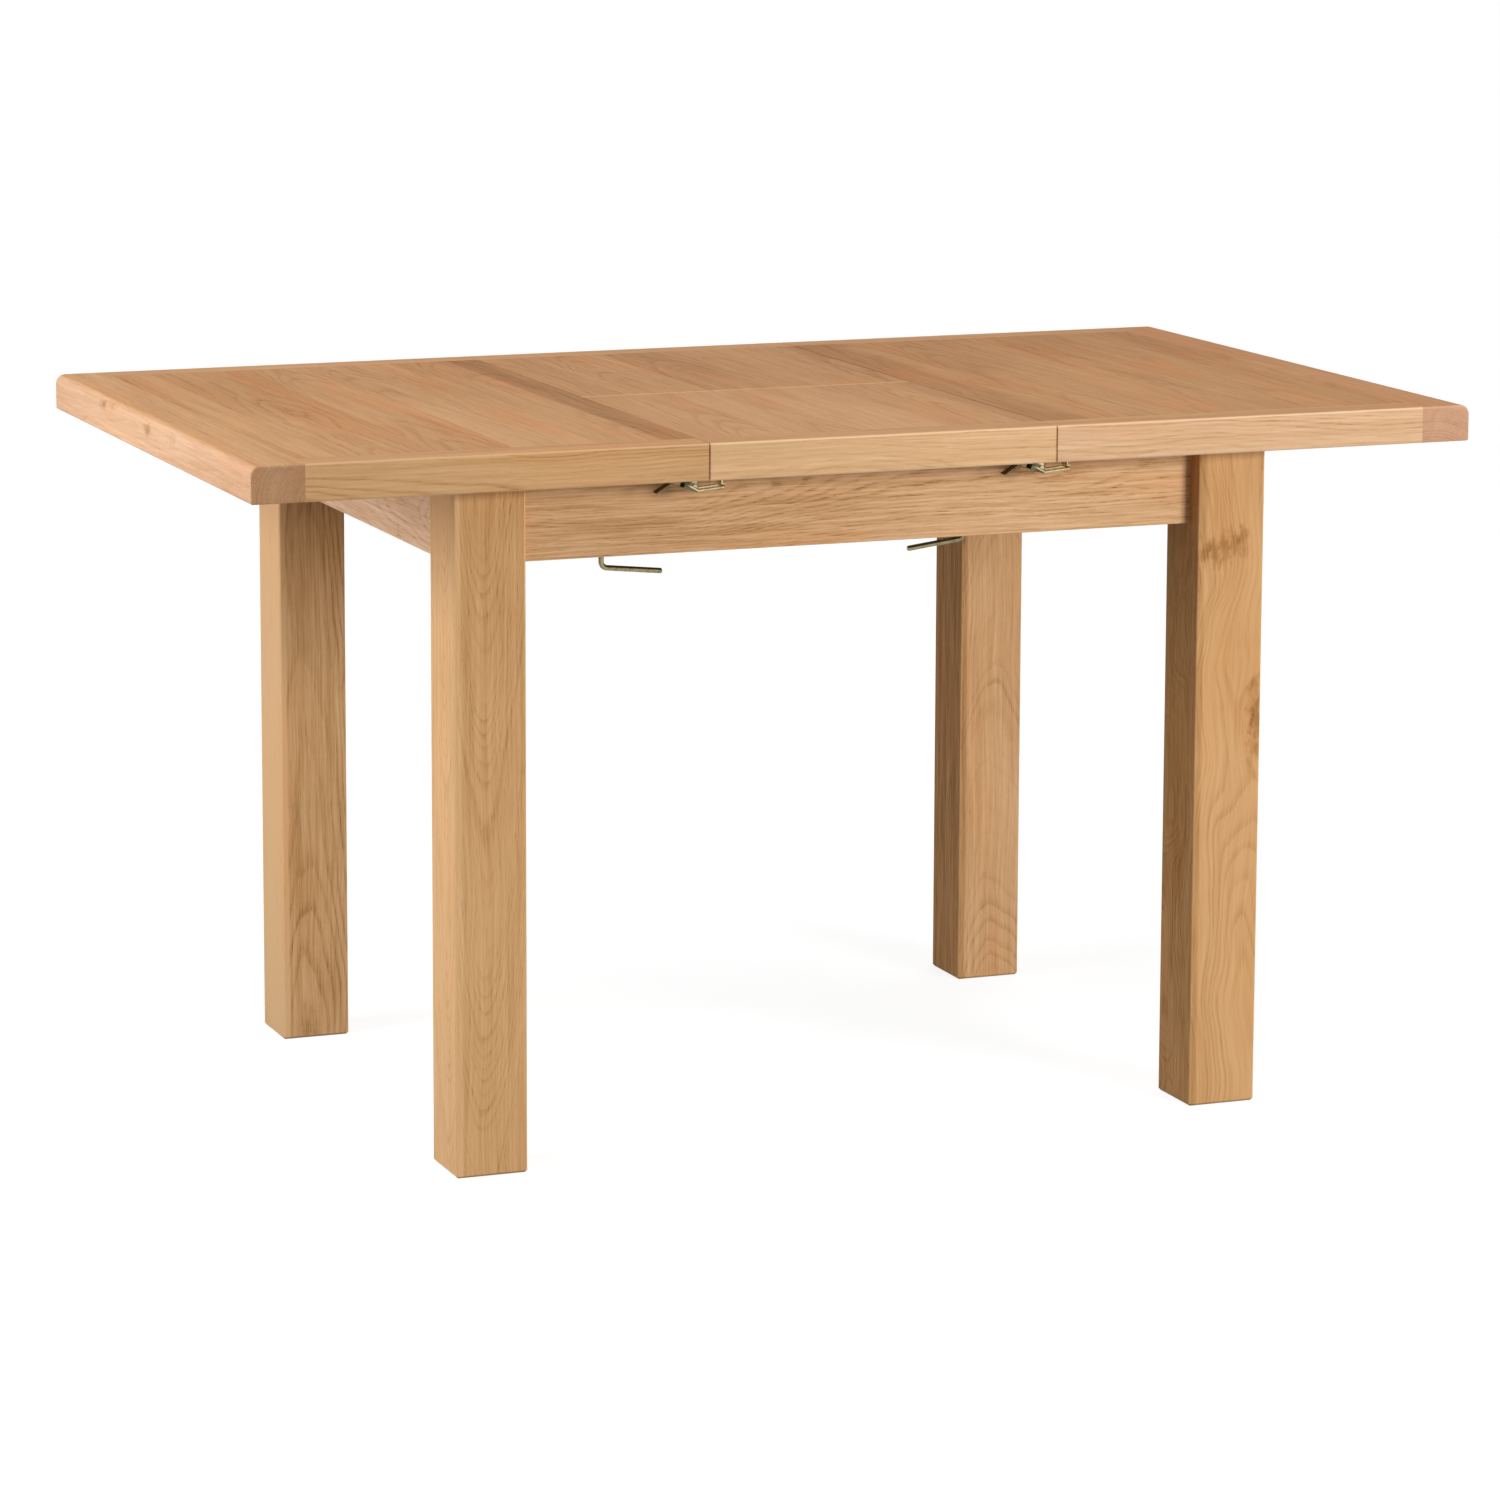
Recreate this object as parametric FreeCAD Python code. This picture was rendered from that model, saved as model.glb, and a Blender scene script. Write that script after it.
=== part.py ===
import FreeCAD, Part
import math
import os

# Extending dining table in oak, shown open: a fixed frame on four square legs,
# two end tops that slide apart on wooden runners, and a folding leaf between
# them.  Millimetres.  +X runs along the table, +Y to its rear, +Z up, and the
# origin is on the floor under the middle of the table.
#
# The feature that takes the most skill is the slide: each end top hangs on two
# grooved runners, and the runners of the two tops pass each other side by side
# in tongued guides, so that the closed table still has room for the folded leaf.

# ---- driving sizes: the table as a whole ----
table_height = 780.0
open_length = 1400.0
table_depth = 800.0
leaf_length = 400.0
top_thickness = 40.0
end_overhang = 30.0        # end top past the legs when the table is closed
side_overhang = 40.0       # front and rear edges past the legs
frame_clearance = 3.0      # legs and rails stay this far under the tops

# ---- tops and leaf ----
seam_gap = 0.5             # between an end top and the leaf
fold_gap = 0.5             # between the two halves of the leaf
end_board_width = 58.0
edge_strip_width = 40.0
end_round = 9.5            # upper arris of the two ends
edge_round = 3.0           # upper arris at front and rear
edge_ease = 1.5            # lower arris
corner_round = 11.0        # corners in plan
seam_ease = 0.8
tongue_thickness = 12.0
tongue_depth = 12.0
tongue_stop = 14.0         # tongues end this far short of an open edge
glue_gap = 0.1

# ---- legs, rails and corner blocks ----
leg_size = 80.0
leg_round = 3.0
foot_chamfer = 2.5
rail_thickness = 22.0
rail_height = 82.0
rail_ease = 1.5
long_rail_setback = 22.0
end_rail_setback = 8.0
tenon_thickness = 12.0
tenon_length = 25.0
tenon_shoulder = 10.0
block_thickness = 26.0
block_height = 28.0
block_gap = 1.0            # block below the slide bed
leg_flat = 12.0            # flat on the leg's inner corner, behind the block
block_screw_inset = 10.0

# ---- hanger bolts ----
bolt_radius = 4.0
bolt_in_leg = 50.0
bolt_out = 14.0            # past the inner face of the block
nut_across = 13.0
nut_height = 6.5
nut_flange_radius = 9.0
nut_flange = 1.8
hole_clearance = 0.1

# ---- slides ----
bed_thickness = 18.0
outer_guide = 12.0
middle_guide = 24.0
inner_guide = 14.0
guide_clearance = 4.0      # guides stay this far under the tops
guide_tongue = 5.0
guide_tongue_height = 8.0
runner_width = 30.0
runner_height = 36.0
runner_fit = 0.3
runner_reach = 140.0       # runner past the seam, under the leaf
slide_travel = 54.0        # outward, to free the leaf
stop_gap = 1.0

# ---- cross bearers and leaf pivots ----
bearer_thickness = 22.0
bearer_gap = 4.0           # between the leaf's end and the bearer
pivot_drop = 9.0           # pivot axis below the underside of the leaf
pivot_pin_radius = 3.0
pivot_plate_thickness = 2.0
pivot_plate_width = 50.0
pivot_plate_height = 33.0
pivot_plate_drop = 2.0
pivot_plate_round = 4.0
pivot_plate_screw_inset = 8.0
pivot_arm_gap = 7.0        # between the arm's ear and the plate
pivot_arm_length = 35.0
pivot_arm_width = 40.0
pivot_arm_screw_back = 10.0
pivot_arm_screw_inset = 9.0
pivot_ear_width = 20.0
pivot_ear_drop = 16.0
pivot_ear_round = 5.0

# ---- concealed hinges of the folding leaf ----
fold_axis_lift = 0.3       # hinge axis above the table top
hinge_count = 3
hinge_end_inset = 60.0
hinge_radius = 8.0
hinge_length = 22.0
hinge_drop = 16.0
hinge_slot_width = 6.0
hinge_slot_height = 12.0
hinge_slot_depth = 17.0
hinge_link_gap = 0.5
hinge_link_reach = 5.0

# ---- screws and bolts out of sight are flat-sided, to keep their faces few ----
hidden_sides = 6
frame_screw = (35.0, 2.0, 4.0)       # length, shank radius, head radius
runner_screw = (50.0, 2.5, 5.0)
small_screw = (14.0, 1.6, 3.2)
screw_recess_clearance = 0.5
bearer_screw_recess = 8.0
runner_screw_recess = 12.0
runner_screw_inset = 20.0
guide_screw_inset = 90.0
guide_screw_count = 2
outer_runner_screws = 2
inner_runner_screws = 3

# ---- lock bolts ----
lock_rod_radius = 3.0
lock_arm_length = 70.0
lock_arm_drop = 51.0       # elbow below the slide bed
lock_arm_slope = 6.0       # degrees that the arm falls towards its end
lock_bend_radius = 7.0
lock_end_chamfer = 1.0
lock_tip_gap = 0.3
lock_left_inset = 81.0     # left bolt outside the left seam
lock_right_inset = 37.0    # right bolt inside the right seam
lock_left_turn = 0.0       # arm directions seen from above, in degrees from +X
lock_right_turn = 185.0
insert_radius = 6.5
insert_flange_radius = 9.0
insert_flange = 1.6
running_fit = 0.06

# ---- toggle catches under the front edge ----
catch_inset = 28.0         # catch line behind the front edge
plate_sheet = 1.5
plate_half_width = 8.0
plate_round = 3.0
base_start = -40.0         # places along X, from the seam
base_end = -3.0
base_screws = (-34.0, -22.0)
lever_pivot = (-8.0, -8.5)           # X from the seam, Z from the underside
bail_pivot = (-16.0, -6.5)
ear_half_width = 3.0
ear_inner = 3.4
ear_sheet = 1.2
rivet_radius = 1.5
rivet_head_radius = 2.3
rivet_head = 0.5
lever_sheet = 1.2
lever_half_width = 6.3
lever_bend_round = 1.5
lever_line = ((-51.0, -14.0), (-35.5, -5.0), (-5.0, -14.5))
lever_cheek = ((-21.0, -9.8), (-19.0, -4.2), (-12.0, -4.2), (-4.6, -6.5), (-4.6, -14.4))
bail_radius = 1.2
bail_half_width = 8.6
bail_end = 4.9
bail_bend = (-5.0, -12.5)
bail_bar = (24.4, -9.8)
bail_corner = 2.6
wire_bend_step = 45.0      # largest turn of one short run in a bend of the wire
keeper_start = 21.4
keeper_end = 48.0
keeper_screws = (33.0, 42.0)
keeper_lip = 7.5
keeper_lip_half_width = 7.0
keeper_curl = 2.6
keeper_curl_round = 0.5

# ---- for cutting tools and for finding edges ----
past = 1.0                 # a tool stands this far past a face
near = 0.01                # an edge this close to a plane lies in it
mitred = 1                 # a swept wire's runs meet in a mitre

# ---- planes worked out from the sizes above ----
half_length = open_length / 2
half_depth = table_depth / 2
half_leaf = leaf_length / 2
top_under = table_height - top_thickness
frame_top = top_under - frame_clearance
rail_bottom = frame_top - rail_height
leg_out_x = half_length - half_leaf - end_overhang
leg_in_x = leg_out_x - leg_size
leg_out_y = half_depth - side_overhang
leg_in_y = leg_out_y - leg_size
long_rail_out = leg_out_y - long_rail_setback
long_rail_in = long_rail_out - rail_thickness
end_rail_out = leg_out_x - end_rail_setback
end_rail_in = end_rail_out - rail_thickness
bed_top = top_under - runner_height
bed_under = bed_top - bed_thickness
guide_top = top_under - guide_clearance
tongue_middle = (bed_top + guide_top) / 2
outer_lane = long_rail_in - outer_guide - runner_width / 2
inner_lane = outer_lane - runner_width - middle_guide
lane_half = runner_width / 2
bay_side = inner_lane - lane_half - inner_guide
bearer_in = half_leaf + bearer_gap
bearer_out = bearer_in + bearer_thickness
pivot_y = -half_depth / 4
pivot_z = top_under - pivot_drop
arm_face = bearer_in - pivot_plate_thickness - pivot_arm_gap
seam_face = half_leaf + seam_gap / 2
leaf_face = half_leaf - seam_gap / 2
fold_face = fold_gap / 2
panel_out = half_depth - edge_strip_width
end_board_in = half_length - end_board_width
top_middle = table_height - top_thickness / 2
catch_y = -half_depth + catch_inset
block_z = bed_under - block_gap - block_height
bolt_z = block_z + block_height / 2
lock_arm_z = bed_under - lock_arm_drop


def vec(x, y, z):
    return FreeCAD.Vector(x, y, z)


def box(x_span, y_span, z_span):
    """A box between two values along each axis."""
    corner = vec(min(x_span), min(y_span), min(z_span))
    sizes = [max(span) - min(span) for span in (x_span, y_span, z_span)]
    return Part.makeBox(*sizes, corner)


def rod(radius, start, end):
    """A round bar from one point to another."""
    along = end - start
    return Part.makeCylinder(radius, along.Length, start, along)


def prism(points, depth):
    """A solid with the outline given by its points, pushed along depth."""
    outline = Part.makePolygon(list(points) + [points[0]])
    return Part.Face(outline).extrude(depth)


def fuse(first, *others):
    return first.fuse(list(others)).removeSplitter()


def edges_where(shape, wanted):
    """The edges whose bounding box passes the test."""
    return [edge for edge in shape.Edges if wanted(edge.BoundBox)]


def turned(shape, degrees=180.0):
    """A copy turned about the table's vertical axis."""
    copy = shape.copy()
    copy.rotate(vec(0, 0, 0), vec(0, 0, 1), degrees)
    return copy


def reflected(shape, side_x, side_y):
    """A copy moved from the +X +Y quarter to another one."""
    copy = shape
    if side_x < 0:
        copy = copy.mirror(vec(0, 0, 0), vec(1, 0, 0))
    if side_y < 0:
        copy = copy.mirror(vec(0, 0, 0), vec(0, 1, 0))
    return copy


def ringed(profile, start, direction, sides=hidden_sides):
    """A flat-sided solid through rings, each a radius and its distance from the start."""
    rings = [
        [vec(radius * math.cos(turn), radius * math.sin(turn), distance)
         for turn in (math.tau * index / sides for index in range(sides))]
        for radius, distance in profile]
    outlines = [rings[0], rings[-1]]
    for low, high in zip(rings, rings[1:]):
        outlines += [[low[index - 1], low[index], high[index], high[index - 1]] for index in range(sides)]
    faces = [Part.Face(Part.makePolygon(outline + outline[:1])) for outline in outlines]
    solid = Part.Solid(Part.Shell(faces))
    if solid.Volume < 0:
        solid.reverse()
    solid.Placement = FreeCAD.Placement(start, FreeCAD.Rotation(vec(0, 0, 1), direction))
    return solid


def reflected_screws(screws, side_x, side_y):
    """The same (head, direction) screws in another quarter."""
    return [
        tuple(vec(place.x * side_x, place.y * side_y, place.z) for place in pair)
        for pair in screws]


def screw(kind, head, direction, clearance=0.0):
    """A countersunk wood screw with its flat head at a point."""
    length, shank, head_radius = kind
    profile = [
        (head_radius + clearance, 0),
        (shank + clearance, head_radius - shank),
        (shank / 2 + clearance, length + clearance)]
    return ringed(profile, head, direction)


def drill(piece, screws, kind, recess=0.0):
    """Cut the holes of a set of (head, direction) screws from a piece."""
    for head, direction in screws:
        piece = piece.cut(screw(kind, head, direction, hole_clearance))
        if recess:
            radius = kind[2] + screw_recess_clearance
            piece = piece.cut(ringed([(radius, -recess), (radius, 0)], head, direction))
    return piece


def screw_group(screws, kind):
    return Part.makeCompound([screw(kind, head, way) for head, way in screws])


def spread(start, end, count):
    """Evenly spaced places from start to end, both included."""
    step = (end - start) / (count - 1)
    return [start + step * index for index in range(count)]


# ---- frame ----

def tenons():
    """Stub tenons of the long rail and the end rail, at the +X +Y leg."""
    low = rail_bottom + tenon_shoulder
    high = frame_top - tenon_shoulder
    half = tenon_thickness / 2
    long_middle = (long_rail_in + long_rail_out) / 2
    end_middle = (end_rail_in + end_rail_out) / 2
    level = (low, high)
    long_tenon = box((leg_in_x, leg_in_x + tenon_length), (long_middle - half, long_middle + half), level)
    end_tenon = box((end_middle - half, end_middle + half), (leg_in_y, leg_in_y + tenon_length), level)
    return long_tenon, end_tenon


def mortise(tenon, axis_x):
    """The tenon's socket, with glue room round it."""
    room = tenon.BoundBox
    gap_x = (0.0, glue_gap) if axis_x else (glue_gap, glue_gap)
    gap_y = (glue_gap, glue_gap) if axis_x else (0.0, glue_gap)
    return box(
        (room.XMin - gap_x[0], room.XMax + gap_x[1]),
        (room.YMin - gap_y[0], room.YMax + gap_y[1]),
        (room.ZMin - glue_gap, room.ZMax + glue_gap))


def bolt_line():
    """Start on the leg's flat and direction into the leg, at the +X +Y corner."""
    middle = vec(leg_in_x + leg_flat / 2, leg_in_y + leg_flat / 2, bolt_z)
    into_leg = vec(1, 1, 0).normalize()
    return middle, into_leg


def leg():
    """Square leg at +X +Y, with mortises, the block's flat and the bolt's hole."""
    post = box((leg_in_x, leg_out_x), (leg_in_y, leg_out_y), (0, frame_top))
    post = post.makeFillet(leg_round, edges_where(post, lambda b: b.ZLength > leg_size))
    post = post.makeChamfer(foot_chamfer, edges_where(post, lambda b: b.ZMax < near))
    flat = prism([
        vec(leg_in_x - past, leg_in_y - past, rail_bottom),
        vec(leg_in_x + leg_flat + past, leg_in_y - past, rail_bottom),
        vec(leg_in_x - past, leg_in_y + leg_flat + past, rail_bottom)], vec(0, 0, rail_height + past))
    long_tenon, end_tenon = tenons()
    return post.cut([flat, hanger_bolt(hole_clearance), mortise(long_tenon, True), mortise(end_tenon, False)])


def block_outline():
    """Corner block in plan at +X +Y: its outer side lies on the leg's flat."""
    outer = leg_in_x + leg_in_y + leg_flat
    inner = outer - block_thickness * math.sqrt(2)
    return [
        vec(outer - long_rail_in, long_rail_in, block_z),
        vec(end_rail_in, outer - end_rail_in, block_z),
        vec(end_rail_in, inner - end_rail_in, block_z),
        vec(inner - long_rail_in, long_rail_in, block_z)]


def block_screws():
    """Two screws of a corner block, one into each rail."""
    outer = leg_in_x + leg_in_y + leg_flat
    inner = outer - block_thickness * math.sqrt(2)
    head_depth = frame_screw[2]
    beside_long = outer - long_rail_in - block_screw_inset
    beside_end = outer - end_rail_in - block_screw_inset
    return [
        (vec(beside_long, inner - beside_long + head_depth, bolt_z), vec(0, 1, 0)),
        (vec(inner - beside_end + head_depth, beside_end, bolt_z), vec(1, 0, 0))]


def corner_block():
    block = prism(block_outline(), vec(0, 0, block_height)).cut(hanger_bolt(hole_clearance))
    return drill(block, block_screws(), frame_screw, recess=block_thickness)


def hanger_bolt(clearance=0.0):
    """Bolt from inside the block into the leg."""
    middle, into_leg = bolt_line()
    radius = bolt_radius + clearance
    reach = bolt_in_leg + clearance
    return ringed([(radius, -block_thickness - bolt_out), (radius, reach)], middle, into_leg)


def flange_nut():
    """Hexagon nut with its flange on the inner face of the block."""
    middle, into_leg = bolt_line()
    seat = middle - into_leg * block_thickness
    corner = nut_across / math.sqrt(3)
    body = ringed([(corner, 0), (corner, nut_height)], seat, into_leg * -1, sides=6)
    flange = ringed([(nut_flange_radius, 0), (nut_flange_radius, nut_flange)], seat, into_leg * -1, sides=12)
    return fuse(body, flange).cut(hanger_bolt(hole_clearance))


def long_rail():
    """Rear rail between the legs, with a stub tenon at each end."""
    board = box((-leg_in_x, leg_in_x), (long_rail_in, long_rail_out), (rail_bottom, frame_top))
    board = board.makeFillet(rail_ease, edges_where(
        board, lambda b: b.ZMax < rail_bottom + near and b.XLength > leg_in_x))
    tenon = tenons()[0]
    rail = fuse(board, tenon, reflected(tenon, -1, 1))
    for side in (-1, 1):
        rail = drill(rail, reflected_screws(block_screws()[:1], side, 1), frame_screw)
    return rail


def end_rail():
    """Right rail between the legs, with a stub tenon at each end."""
    board = box((end_rail_in, end_rail_out), (-leg_in_y, leg_in_y), (rail_bottom, frame_top))
    board = board.makeFillet(rail_ease, edges_where(
        board, lambda b: b.ZMax < rail_bottom + near and b.YLength > leg_in_y))
    tenon = tenons()[1]
    rail = fuse(board, tenon, reflected(tenon, 1, -1))
    for side in (-1, 1):
        rail = drill(rail, reflected_screws(block_screws()[1:], 1, side), frame_screw)
    return rail


# ---- slides, described at the rear side of the frame ----

def bearer_screws():
    """Screws up through the bearers into the slide bed above."""
    places = []
    for x in (-(bearer_in + bearer_out) / 2, (bearer_in + bearer_out) / 2):
        for y in (bay_side + inner_guide, long_rail_in - outer_guide):
            places.append((vec(x, y, rail_bottom + bearer_screw_recess), vec(0, 0, 1)))
    return places


def guide_screws():
    """Screws up through the slide bed into the three guides."""
    lines = (
        long_rail_in - outer_guide / 2,
        (outer_lane + inner_lane) / 2,
        bay_side + inner_guide / 2)
    return [
        (vec(x, y, bed_under), vec(0, 0, 1))
        for y in lines
        for x in spread(-leg_in_x + guide_screw_inset, leg_in_x - guide_screw_inset, guide_screw_count)]


def lock_places():
    """Centres of the two lock bolts, under the front lanes."""
    return {
        "left": vec(-half_leaf - lock_left_inset, -outer_lane, 0),
        "right": vec(half_leaf - lock_right_inset, -inner_lane, 0)}


def slide_bed():
    """Board that carries the guides, housed between the legs."""
    board = box((-leg_in_x, leg_in_x), (bay_side, long_rail_in), (bed_under, bed_top))
    board = drill(board, bearer_screws(), frame_screw)
    return drill(board, guide_screws(), frame_screw)


def guide(y_low, y_high, tongue_low, tongue_high):
    """Guide strip with a tongue on the sides that face a runner."""
    body = box((-leg_in_x, leg_in_x), (y_low, y_high), (bed_top, guide_top))
    half = guide_tongue_height / 2
    reach_low = y_low - (guide_tongue if tongue_low else 0)
    reach_high = y_high + (guide_tongue if tongue_high else 0)
    tongue = box((-leg_in_x, leg_in_x), (reach_low, reach_high), (tongue_middle - half, tongue_middle + half))
    own_screws = [(head, way) for head, way in guide_screws() if y_low < head.y < y_high]
    return drill(fuse(body, tongue), own_screws, frame_screw)


def guides():
    """Outer, middle and inner guide; runners keep their fit on each side."""
    outer_edge = outer_lane + lane_half + runner_fit
    middle_edges = (inner_lane + lane_half + runner_fit, outer_lane - lane_half - runner_fit)
    inner_edge = inner_lane - lane_half - runner_fit
    return {
        "outer": guide(outer_edge, long_rail_in, True, False),
        "middle": guide(middle_edges[0], middle_edges[1], True, True),
        "inner": guide(bay_side, inner_edge, False, True)}


def bearer():
    """Right cross bearer: its lower part carries the beds, its upper part stands between them."""
    across = (bearer_in, bearer_out)
    lower = box(across, (-long_rail_in, long_rail_in), (rail_bottom, bed_under))
    upper = box(across, (-bay_side, bay_side), (rail_bottom, guide_top))
    piece = fuse(lower, upper)
    right_screws = [pair for pair in bearer_screws() if pair[0].x > 0]
    for side in (1, -1):
        piece = drill(piece, reflected_screws(right_screws, 1, side), frame_screw, recess=bearer_screw_recess)
    return drill(piece, plate_screws(), small_screw)


def runner(outer_end, lane, screw_count):
    """Grooved runner of the left top, in a lane at rear; it reaches past the seam."""
    inner_end = -half_leaf + runner_reach
    low = bed_top + runner_fit
    across = (lane - lane_half, lane + lane_half)
    own = box((-outer_end, -seam_face), across, (low, top_under))
    beyond = box((-seam_face, inner_end), across, (low, top_under - runner_fit))
    bar = fuse(own, beyond)
    half = guide_tongue_height / 2 + runner_fit
    for side in (-1, 1):
        face = lane + side * lane_half
        groove = box(
            (-outer_end - past, inner_end + past),
            (face - side * (guide_tongue + runner_fit), face + side * past),
            (tongue_middle - half, tongue_middle + half))
        bar = bar.cut(groove)
    screws = runner_screws(outer_end, lane, screw_count)
    return drill(bar, screws, runner_screw, recess=runner_screw_recess + past)


def runner_screws(outer_end, lane, count):
    """Screws up through a runner of the left top."""
    low = bed_top + runner_fit + runner_screw_recess
    places = spread(-outer_end + runner_screw_inset, -seam_face - runner_screw_inset, count)
    return [(vec(x, lane, low), vec(0, 0, 1)) for x in places]


# The runner in the outer lane stops on the leg, the one in the inner lane on the end rail.
outer_runner_end = leg_in_x - slide_travel - stop_gap
inner_runner_end = end_rail_in - slide_travel - stop_gap
left_runner_screws = (
    runner_screws(outer_runner_end, -outer_lane, outer_runner_screws)
    + runner_screws(inner_runner_end, inner_lane, inner_runner_screws))


# ---- tops and leaf ----

def in_end_face(b):
    """Whether a bounding box lies in the outer face of an end."""
    return max(abs(b.XMin), abs(b.XMax)) > half_length - near and b.XLength < near


def in_side_face(b):
    """Whether a bounding box lies in the front or the rear face."""
    return max(abs(b.YMin), abs(b.YMax)) > half_depth - near and b.YLength < near


def eased_slab(slab, outer, upper_round):
    """The slab with its outer arrises rounded above and eased below."""
    upper = edges_where(slab, lambda b: outer(b) and b.ZMin > table_height - near)
    lower = edges_where(slab, lambda b: outer(b) and b.ZMax < top_under + near)
    if upper:
        slab = slab.makeFillet(upper_round, upper).makeChamfer(edge_ease, lower)
    return slab


def top_blank(x_low, x_high, y_low, y_high):
    """Full slab with rounded outer edges; sides at a seam or the fold are only eased."""
    level = (top_under, table_height)
    plan = box((x_low, x_high), (y_low, y_high), level)
    corners = edges_where(plan, lambda b: b.ZLength > near and in_end_face(b) and in_side_face(b))
    if corners:
        plan = plan.makeFillet(corner_round, corners)

    def open_arris(b):
        long_enough = max(b.XLength, b.YLength) > corner_round + near
        return b.ZMin > table_height - near and long_enough and not (in_end_face(b) or in_side_face(b))

    plan = plan.makeChamfer(seam_ease, edges_where(plan, open_arris))
    along = eased_slab(box((x_low - past, x_high + past), (y_low, y_high), level), in_side_face, edge_round)
    across = eased_slab(box((x_low, x_high), (y_low - past, y_high + past), level), in_end_face, end_round)
    return plan.common(along).common(across)


def tongue_block(x_span, y_span, gap=0.0):
    """A tongue, or with a gap its groove, at mid-thickness."""
    half = tongue_thickness / 2 + gap
    return box(
        (x_span[0] - gap, x_span[1] + gap), (y_span[0] - gap, y_span[1] + gap),
        (top_middle - half, top_middle + half))


def end_top_pieces():
    """End board, panel and two edge strips of the left top."""
    blank = top_blank(-half_length, -seam_face, -half_depth, half_depth)
    level = (top_under - past, table_height + past)
    outside_y = half_depth + past
    end_board = blank.common(box((-half_length - past, -end_board_in), (-outside_y, outside_y), level))
    inside_x = (-end_board_in, -seam_face + past)
    panel = blank.common(box(inside_x, (-panel_out, panel_out), level))
    front = blank.common(box(inside_x, (-outside_y, -panel_out), level))
    rear = blank.common(box(inside_x, (panel_out, outside_y), level))
    end_y = panel_out - tongue_stop
    end_tongue = ((-end_board_in - tongue_depth, -end_board_in), (-end_y, end_y))
    side_x = (-end_board_in + tongue_stop, -seam_face - tongue_stop)
    front_tongue = (side_x, (-panel_out - tongue_depth, -panel_out))
    rear_tongue = (side_x, (panel_out, panel_out + tongue_depth))
    panel = fuse(panel, *[tongue_block(*spans) for spans in (end_tongue, front_tongue, rear_tongue)])
    end_board = end_board.cut(tongue_block(*end_tongue, glue_gap))
    front = front.cut(tongue_block(*front_tongue, glue_gap))
    rear = rear.cut(tongue_block(*rear_tongue, glue_gap))
    return end_board, panel, front, rear


def leaf_half_pieces():
    """Panel and edge strip of the rear half of the leaf."""
    blank = top_blank(-leaf_face, leaf_face, fold_face, half_depth)
    level = (top_under - past, table_height + past)
    along = (-half_leaf, half_leaf)
    panel = blank.common(box(along, (0, panel_out), level))
    edge = blank.common(box(along, (panel_out, half_depth + past), level))
    tongue = ((-leaf_face + tongue_stop, leaf_face - tongue_stop), (panel_out, panel_out + tongue_depth))
    panel = fuse(panel, tongue_block(*tongue))
    for x in hinge_places():
        panel = panel.cut(hinge_bore(x))
    return panel, edge.cut(tongue_block(*tongue, glue_gap))


# ---- concealed hinges, described in the rear half of the leaf ----

def hinge_places():
    return spread(-half_leaf + hinge_end_inset, half_leaf - hinge_end_inset, hinge_count)


def hinge_bore(x):
    start = vec(x, 0, table_height - hinge_drop)
    return rod(hinge_radius + hole_clearance, start, start + vec(0, fold_face + hinge_length, 0))


def hinge_cup(x):
    """Barrel let into the edge of the leaf, slotted for the links."""
    middle = vec(x, fold_face, table_height - hinge_drop)
    barrel = rod(hinge_radius, middle, middle + vec(0, hinge_length, 0))
    slot = box(
        (x - hinge_slot_width / 2, x + hinge_slot_width / 2),
        (fold_face - past, fold_face + hinge_slot_depth),
        (middle.z - hinge_slot_height / 2, middle.z + hinge_slot_height / 2))
    return barrel.cut(slot)


def hinge_link(x):
    """Link of the front cup, reaching across the fold into the slot of the rear cup."""
    half = hinge_slot_width / 2 - hinge_link_gap
    middle_z = table_height - hinge_drop
    rise = hinge_slot_height / 2 - hinge_link_gap
    return box(
        (x - half, x + half),
        (-fold_face - hinge_slot_depth, hinge_link_reach),
        (middle_z - rise, middle_z + rise))


# ---- leaf pivots at the bearers ----

def plate_screws():
    """Screws of the right pivot plate into the bearer."""
    low = pivot_z - pivot_plate_height / 2
    face = bearer_in - pivot_plate_thickness
    offset = pivot_plate_width / 2 - pivot_plate_screw_inset
    return [(vec(face, pivot_y + side * offset, low), vec(1, 0, 0)) for side in (-1, 1)]


def pivot_plate():
    """Slotted steel plate on the right bearer; the leaf's pin drops into the slot."""
    x_span = (bearer_in - pivot_plate_thickness, bearer_in)
    half = pivot_plate_width / 2
    high = top_under - pivot_plate_drop
    plate = box(x_span, (pivot_y - half, pivot_y + half), (high - pivot_plate_height, high))
    plate = plate.makeFillet(pivot_plate_round, edges_where(plate, lambda b: b.YLength + b.ZLength < near))
    tool_x = (x_span[0] - past, x_span[1] + past)
    slot_half = pivot_pin_radius + running_fit
    seat = rod(slot_half, vec(tool_x[0], pivot_y, pivot_z), vec(tool_x[1], pivot_y, pivot_z))
    mouth = box(tool_x, (pivot_y - slot_half, pivot_y + slot_half), (pivot_z, top_under))
    return drill(plate.cut(fuse(seat, mouth)), plate_screws(), small_screw)


def arm_screws():
    """Screws of the right pivot arm into the leaf."""
    x = arm_face - pivot_arm_length + pivot_arm_screw_back
    low = top_under - pivot_plate_thickness
    offset = pivot_arm_width / 2 - pivot_arm_screw_inset
    return [(vec(x, pivot_y + side * offset, low), vec(0, 0, 1)) for side in (-1, 1)]


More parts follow.
